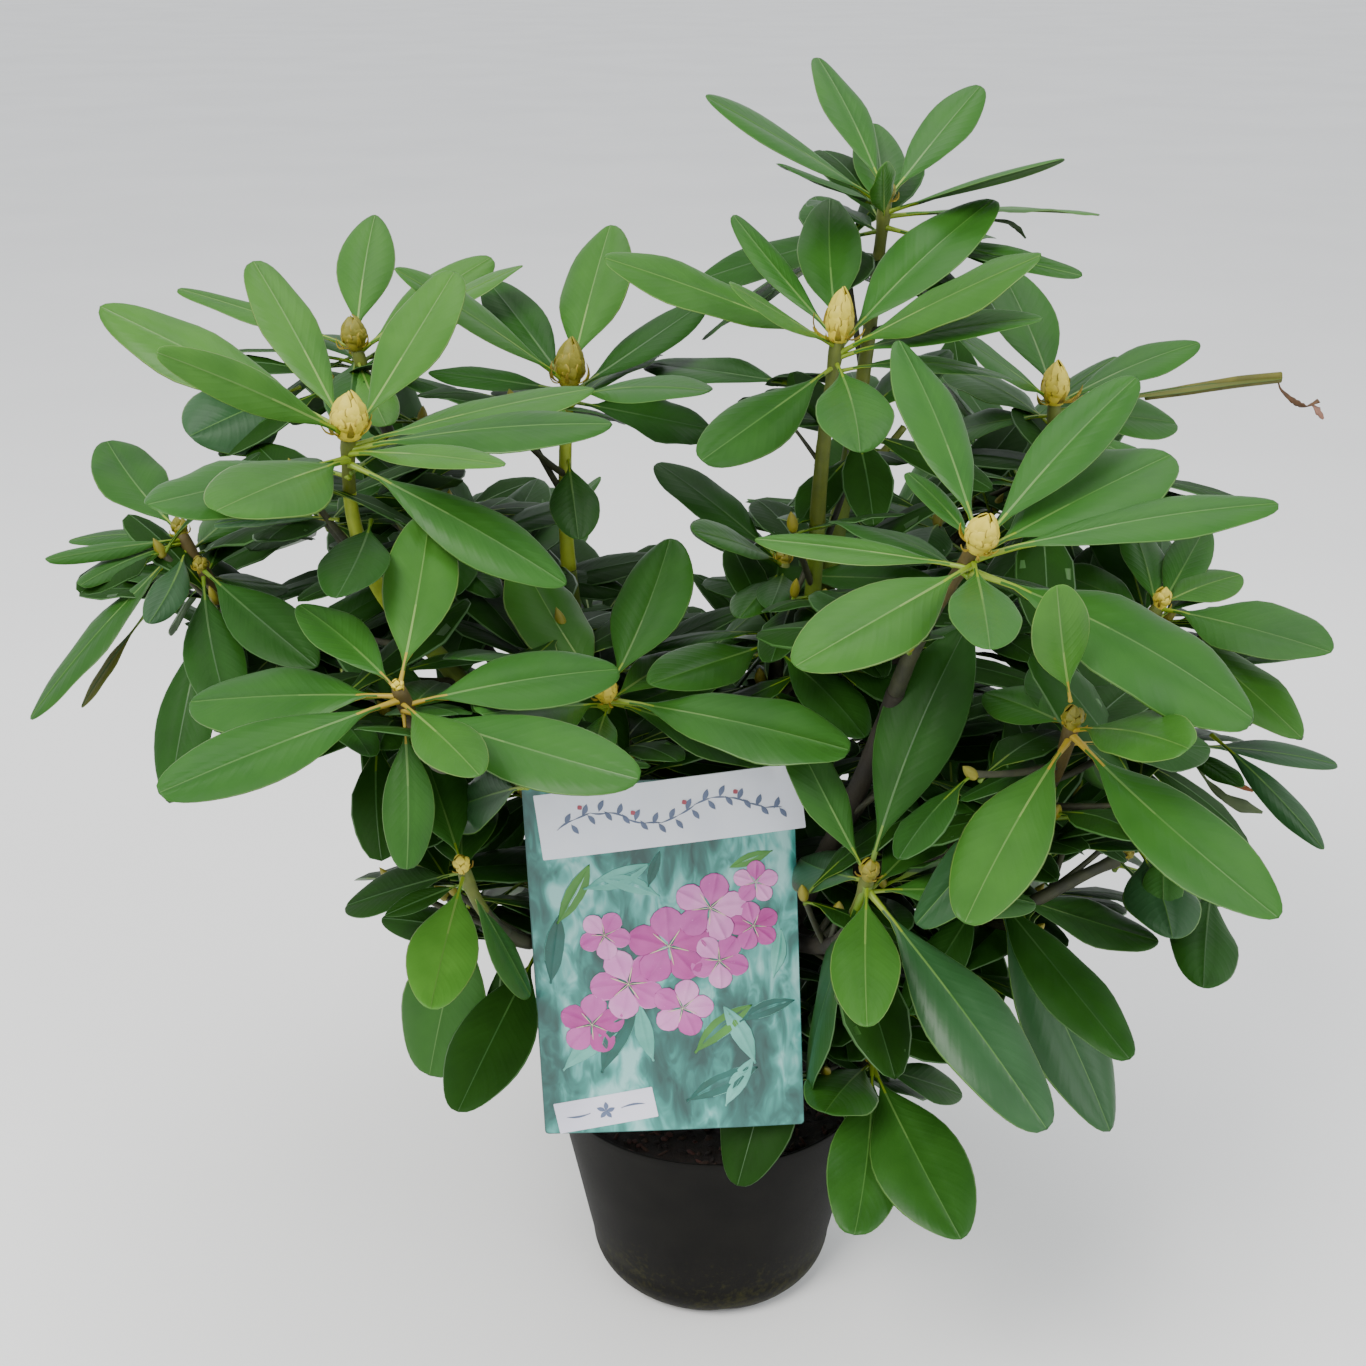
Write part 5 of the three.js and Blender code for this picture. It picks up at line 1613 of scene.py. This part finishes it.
faces = [gridFaces(5, 6, closed=True)[:, ::-1], np.concatenate([
    np.stack([np.zeros(4, int), np.arange(2, 6), np.arange(1, 5)], -1),
    np.stack([np.full(4, 24), np.arange(25, 29), np.arange(26, 30)], -1)])]
offset = np.arange(count)[:, None, None] * size
chosen = chance.integers(0, 3, count)
pour(heap, points, [(part[None] + offset).reshape(-1, part.shape[1]) for part in faces],
     slots=[np.repeat(chosen, len(part)) for part in faces])
chipMaterials = [
    mottled("chipBrown", ("#3a2418", "#261810", "#583e2b"), (300, 1500), 0.4, 0.8, 0.15),
    mottled("chipDark", ("#1c120d", "#120c09", "#2f211a"), (300, 1500), 0.4, 0.85, 0.1),
    mottled("chipRed", ("#4a2a22", "#331c17", "#6d4a3d"), (300, 1500), 0.4, 0.8, 0.15),
]
makePiece("soilChips", heap, chipMaterials, ["soil"])
print("pot filled")


# The label: a bowed card with rounded corners, its printed ground, band and tab, and a stake.

cardLook = {
    "corner": 2.2, "bow": 1.3, "cells": (30, 42), "groundLift": 0.08, "groundInset": 0.5,
    "bandCells": (40, 10), "tabCells": (18, 8), "printLift": 0.1, "printThickness": 0.14,
}


# The bow of the card across its width: bow · (x / half width)², towards the back.
def onBow(points):
    points = np.array(points, float)
    points[..., 1] += cardLook["bow"] * ((points[..., 0] / (card["size"][0] / 2)) ** 2 - 0.4)
    return onCard(points)


# Grid lines from -1 to 1 with one more near each end, where the corner's arc begins.
def gridLines(count, half, corner):
    inner = np.linspace(-half + corner, half - corner, count)
    near = np.array([0.0, 0.25, 0.6]) * corner
    return np.concatenate([-half + near, inner, half - near[::-1]])


# A closed plate: square grid points within a corner's reach are drawn in to its arc,
# (dx, dz) · max(dx, dz) / |(dx, dz)|, front and back grids are joined round the rim.
def pourPlate(heap, size, middle, turn, front, thickness, corner, cells, slot=0):
    xs, zs = gridLines(cells[0], size[0] / 2, corner), gridLines(cells[1], size[1] / 2, corner)
    x, z = np.meshgrid(xs, zs, indexing="ij")
    dx = np.clip(np.abs(x) - size[0] / 2 + corner, 0, None)
    dz = np.clip(np.abs(z) - size[1] / 2 + corner, 0, None)
    reach = np.hypot(dx, dz)
    pull = np.where(reach > 0, np.maximum(dx, dz) / np.maximum(reach, 1e-9), 1)
    x = np.sign(x) * (np.abs(x) - dx + dx * pull)
    z = np.sign(z) * (np.abs(z) - dz + dz * pull)
    c, s = math.cos(math.radians(turn)), math.sin(math.radians(turn))
    x, z = rotate(x, z, c, s, *middle)
    sheets = [np.stack([x, np.full_like(x, y), z], -1).reshape(-1, 3) for y in (front, front + thickness)]
    rows, columns = x.shape
    grid = gridFaces(rows, columns)
    total = rows * columns
    rim = np.concatenate([
        np.arange(columns), np.arange(2, rows) * columns - 1,
        np.arange(total - 1, total - columns - 1, -1), np.arange(rows - 2, 0, -1) * columns])
    after = np.roll(rim, -1)
    sides = np.stack([rim, after, after + total, rim + total], -1)
    faces = np.concatenate([grid, grid[:, ::-1] + total, sides[:, ::-1]])
    pour(heap, onBow(np.concatenate(sheets)), [faces], slots=slot)


# The blurred ground: teal, dark and pale turquoise blended by stretched noise, like leaves out of focus.
def groundFinish():
    material, tree, shader = newMaterial("cardGround", "#3f8f85", 0.32, **{"Coat Weight": 0.25})
    place = addNode(tree, "TexCoord").outputs["Object"]
    turned = addNode(tree, "Mapping", {
        "Vector": place, "Rotation": (0, 0.7, 0), "Scale": (34, 10, 15)}).outputs[0]
    large = noise(tree, turned, 1.0, 1.5, Distortion=0.9)
    small = noise(tree, turned, 3.1, 2.0, Distortion=1.4)
    ramp = addNode(tree, "ValToRGB", {"Fac": maths(tree, "MULTIPLY_ADD", small, 0.45, large)})
    stops = ((0.52, "#10403c"), (0.64, "#1b5f58"), (0.73, "#2c8177"), (0.8, "#4fa39b"), (0.9, "#8cc6c1"))
    for k, (at, code) in enumerate(stops):
        stop = ramp.color_ramp.elements[k] if k < 2 else ramp.color_ramp.elements.new(at)
        stop.position = at
        stop.color = linear(code)
    feed(tree, shader.inputs["Base Color"], ramp.outputs["Color"])
    joinBump(tree, shader, noise(tree, place, 1600.0, 2.0), 0.02)
    return material


printed = dict(smooth=0.28, spread=0.12)
cardMaterials = [
    mottled("cardBoard", ("#2d5f5a", "#2a554f", "#3d726b"), (60, 1500), 0.03, **printed),
    groundFinish(),
    mottled("cardBand", ("#eceff6", "#e4e8f3", "#f2f4f9"), (22, 1500), 0.03, **printed),
    mottled("cardTab", ("#e4e2ee", "#dbd9e8", "#eae9f2"), (30, 1500), 0.03, **printed),
    mottled("cardEdge", ("#eceef2", "#dde0e6", "#f2f3f6"), (60, 1500), 0.03, **printed),
]
heap = newHeap()
groundFront = cardFront - cardLook["groundLift"]
wholeCard = cardLook["corner"], cardLook["cells"]
pourPlate(heap, card["size"], (0, 0), 0, cardFront, card["thickness"], *wholeCard, 0)
inner = [side - 2 * cardLook["groundInset"] for side in card["size"]]
pourPlate(heap, inner, (0.2, 0), 0, groundFront, 0.3, *wholeCard, 1)
for slot, name in ((2, "band"), (3, "tab")):
    pourPlate(heap, card[name][0], *card[name][1:], bandFront, 1.0, 0.6, cardLook[name + "Cells"], slot)
makePiece("labelCard", heap, cardMaterials, ["label_card"], smooth=False)

# The printed motifs: a loose garland of single five-petalled flowers that climbs from the lower left
# to the upper right, with lance leaves, and a fine vine with berries on the band.
printMaterials = [mottled("print" + name, colours, (55, 700), 0.02, **printed) for name, colours in {
    "PinkDeep": ("#a42c82", "#bb479a", "#d27ab8"), "Pink": ("#c863ad", "#b6479a", "#df92ca"),
    "PinkPale": ("#e29cd0", "#d37dbf", "#efc3e3"), "Teal": ("#1b6158", "#174e43", "#338478"),
    "Mint": ("#6bb8aa", "#4fa090", "#96cfc3"), "Green": ("#4c8f34", "#3b7429", "#6ba953"),
    "Slate": ("#62708f", "#56637f", "#7583a0"), "Berry": ("#b04a5a", "#96394a", "#c4687a"),
    "Cream": ("#f4efc8", "#e6dfae", "#fbf8e2"),
}.items()]
printShape = {
    "rows": 8, "stalk": 0.03, "stalkRadius": 0.012, "skew": 1.3, "thickness": cardLook["printThickness"],
    "rib": (0.2, 0.1), "ribRaise": 0.03, "ribDrop": (0.0, 0.0), "fold": (0.0, 0.0), "curl": (0.0, 0.0),
    "wave": (0.0, 0.0), "twist": 0, "bend": 0.0, "droop": 0.0, "point": (0.5, 0.6), **coarse,
}
lanceShape = dict(printShape, skew=1.0, point=(0.9, 0.95), bend=0.08)


# A flat motif blade on the card, from one place to another in the card's own x and z.
def motif(start, end, width, slot, edge=None, lift=0.0):
    y = groundFront - cardLook["printLift"] - lift
    ends = onBow([(start[0], y, start[1]), (end[0], y, end[1])])
    return flake(ends, -cardAxes[1], width, 0.0, slot, slot if edge is None else edge)


# The direction at an angle in the card's own x and z.
def flatWay(turn):
    return triple(math.cos(math.radians(turn)), math.sin(math.radians(turn)))


def petalledFlower(middle, size, turn, slots, lift):
    petals = []
    for k in range(5):
        step = flatWay(turn + 72 * k)
        start, end = triple(*middle) + step * 0.05 * size, triple(*middle) + step * size
        petals.append(motif(start, end, 0.86, slots[k % 2], slots[1], lift + 0.05 * (k % 2)))
    return petals


# Each flower: its middle, its size and its turn. Each lance leaf: its root, its turn, its length and
# its slot.
flowers = (
    (-44, -38, 19, 10), (-22, -14, 22, 40), (8, -30, 18, 75), (2, 8, 24, 20), (30, -2, 17, 55),
    (26, 30, 21, 5), (50, 18, 15, 30), (-34, 16, 15, 60), (52, 44, 13, 15),
)
lances = (
    (-62, -66, 35, 40, 4), (-40, -68, 60, 46, 3), (-10, -62, 100, 36, 4), (14, -58, 40, 44, 5),
    (40, -40, 20, 34, 3), (48, -66, 115, 40, 4), (-66, -12, 80, 42, 3), (-60, 24, 60, 40, 5),
    (-44, 44, 20, 40, 4), (-8, 44, 70, 22, 3), (60, -14, 80, 30, 4), (8, -88, 25, 46, 3),
    (30, -92, 60, 34, 4), (-2, 38, 160, 34, 4), (62, 62, 200, 26, 5),
)
petals, blooms = [], []
for x, z, turn, length, slot in lances:
    petals.append(motif((x, z), triple(x, z) + flatWay(turn) * length, 0.3, slot, 4))
for k, (x, z, size, turn) in enumerate(flowers):
    blooms += petalledFlower((x, z), size, turn, ((0, 1), (1, 2), (2, 1))[k % 3], 0.12 + 0.03 * k)
heap = newHeap()
pourLeaves(heap, petals, lanceShape, budSlots, 3)
pourLeaves(heap, blooms, printShape, budSlots, 4)
threads = []
for k, (x, z, size, turn) in enumerate(flowers):
    for j in range(5):
        step = flatWay(turn + 36 + 72 * j + 9 * (j % 2))
        threads.append(motif((x, z), triple(x, z) + step * 0.5 * size, 0.05, 8, 8, 0.45))
pourLeaves(heap, threads, printShape, budSlots, 5)
bandTurn = math.radians(card["band"][2])


def onBand(a, b):
    return rotate(a, b, math.cos(bandTurn), math.sin(bandTurn), *card["band"][1])


# The vine's height on the band: a · sin(0.9 k).
def swayAt(k):
    return 5.5 * math.sin(0.9 * k)


vine = []
for k in range(13):
    x, sway = -58 + 9.6 * k, swayAt(k)
    vine.append(motif(onBand(x - 5, swayAt(k - 0.5)), onBand(x + 5, swayAt(k + 0.5)), 0.1, 6, 6, 0.3))
    for root, tip, rise in ((0, 3.5, 6.5), (3, 6.5, -6)):
        vine.append(motif(onBand(x + root, sway), onBand(x + tip, sway + rise), 0.42, 6, 6, 0.32))
    if k % 3 == 1:
        vine.append(motif(onBand(x - 2, sway + 4), onBand(x + 0.8, sway + 5.6), 0.95, 7, 7, 0.34))
x, z = card["tab"][1]
for k in range(5):
    vine.append(motif((x, z), triple(x, z) + 5.5 * flatWay(18 + 72 * k), 0.5, 6, 6, 0.3))
for side in (-1, 1):
    vine.append(motif((x + side * 9, z + side * 1.4), (x + side * 23, z + side * 3.6), 0.09, 6, 6, 0.3))
pourLeaves(heap, vine, lanceShape, budSlots, 6)
makePiece("labelPrint", heap, printMaterials, ["label_card"])

heap = newHeap()
reach = np.linspace(0, 1, 30)
y, z = (np.interp(reach, (0, 0.68, 1), values) for values in zip(*stakePath))
path = np.stack([np.full_like(y, stake["foot"][0]), y, z], -1)
angle = fullTurn(16) + math.pi / 16
box = 1 / np.maximum(np.abs(np.cos(angle)) ** 6 + np.abs(np.sin(angle)) ** 6, 1e-9) ** (1 / 6)
points, faces, places = tube(path, np.ones(len(path)), 16, 0.1)
side, up = crossways(path)
across = (box * np.cos(angle))[None, :, None] * side[:, None] * stake["width"] / 2
across = across + (box * np.sin(angle))[None, :, None] * up[:, None] * (stake["thickness"] / 2 - 0.25)
points[:30 * 16] = (path[:, None] + across).reshape(-1, 3)
pour(heap, points, faces, places)
stakeMaterial = mottled("stakePlastic", ("#2c5a38", "#264f31", "#3c6e48"), (60, 1300), 0.05, 0.38, 0.15)
makePiece("labelStake", heap, [stakeMaterial], ["label_stake"])
print("label dressed")


# Floor, lights and camera.

stageLook = {
    "floorSize": 60, "floor": ("#f4f3f1", "#efeeec", "#f4f3f1"), "sky": (0.93, 0.96, 1.0),
    "skyStrength": 1.15, "aim": (0.0, 0.0, 0.4),
    "key": ((-1.3, -1.9, 2.6), 1.6, 112, (1.0, 0.98, 0.95)),
    "fill": ((1.9, -1.4, 1.5), 1.8, 26, (0.94, 0.97, 1.0)),
    "top": ((0.1, 0.5, 2.9), 1.8, 22, (1.0, 1.0, 1.0)),
}
half = stageLook["floorSize"] / 2
mesh = bpy.data.meshes.new("studioFloor")
mesh.from_pydata([(-half, -half, 0), (half, -half, 0), (half, half, 0), (-half, half, 0)], [], [(0, 1, 2, 3)])
floor = bpy.data.objects.new("studioFloor", mesh)
bpy.context.scene.collection.objects.link(floor)
material, tree, shader = newMaterial("studioPaper", stageLook["floor"][0], 0.75)
dress(tree, shader, mottle, 0.02, mottleValues(stageLook["floor"], (1.5, 300), 0.7, 0.1, 0.1))
mesh.materials.append(material)

world = bpy.data.worlds.new("studioSky")
bpy.context.scene.world = world
world.use_nodes = True
backdrop = world.node_tree.nodes["Background"]
backdrop.inputs["Color"].default_value = (*stageLook["sky"], 1)
backdrop.inputs["Strength"].default_value = stageLook["skyStrength"]


def addLamp(name, place, size, power, colour):
    lamp = bpy.data.lights.new(name, "AREA")
    lamp.shape, lamp.size, lamp.energy, lamp.color = "DISK", size, power, colour
    holder = bpy.data.objects.new(name, lamp)
    holder.location = place
    holder.rotation_euler = (Vector(stageLook["aim"]) - Vector(place)).to_track_quat("-Z", "Y").to_euler()
    bpy.context.scene.collection.objects.link(holder)


for name in ("key", "fill", "top"):
    addLamp(name + "Lamp", *stageLook[name])

lens = bpy.data.cameras.new("viewCamera")
lens.sensor_width = view["sensor"]
lens.lens = view["sensor"] * view["focal"] / view["side"]
lens.clip_start, lens.clip_end = 0.02, 200
camera = bpy.data.objects.new("viewCamera", lens)
camera.location = eye * millimetre
camera.rotation_euler = (math.radians(90 - view["pitch"]), 0, 0)
bpy.context.scene.collection.objects.link(camera)
bpy.context.scene.camera = camera
print("stage set")
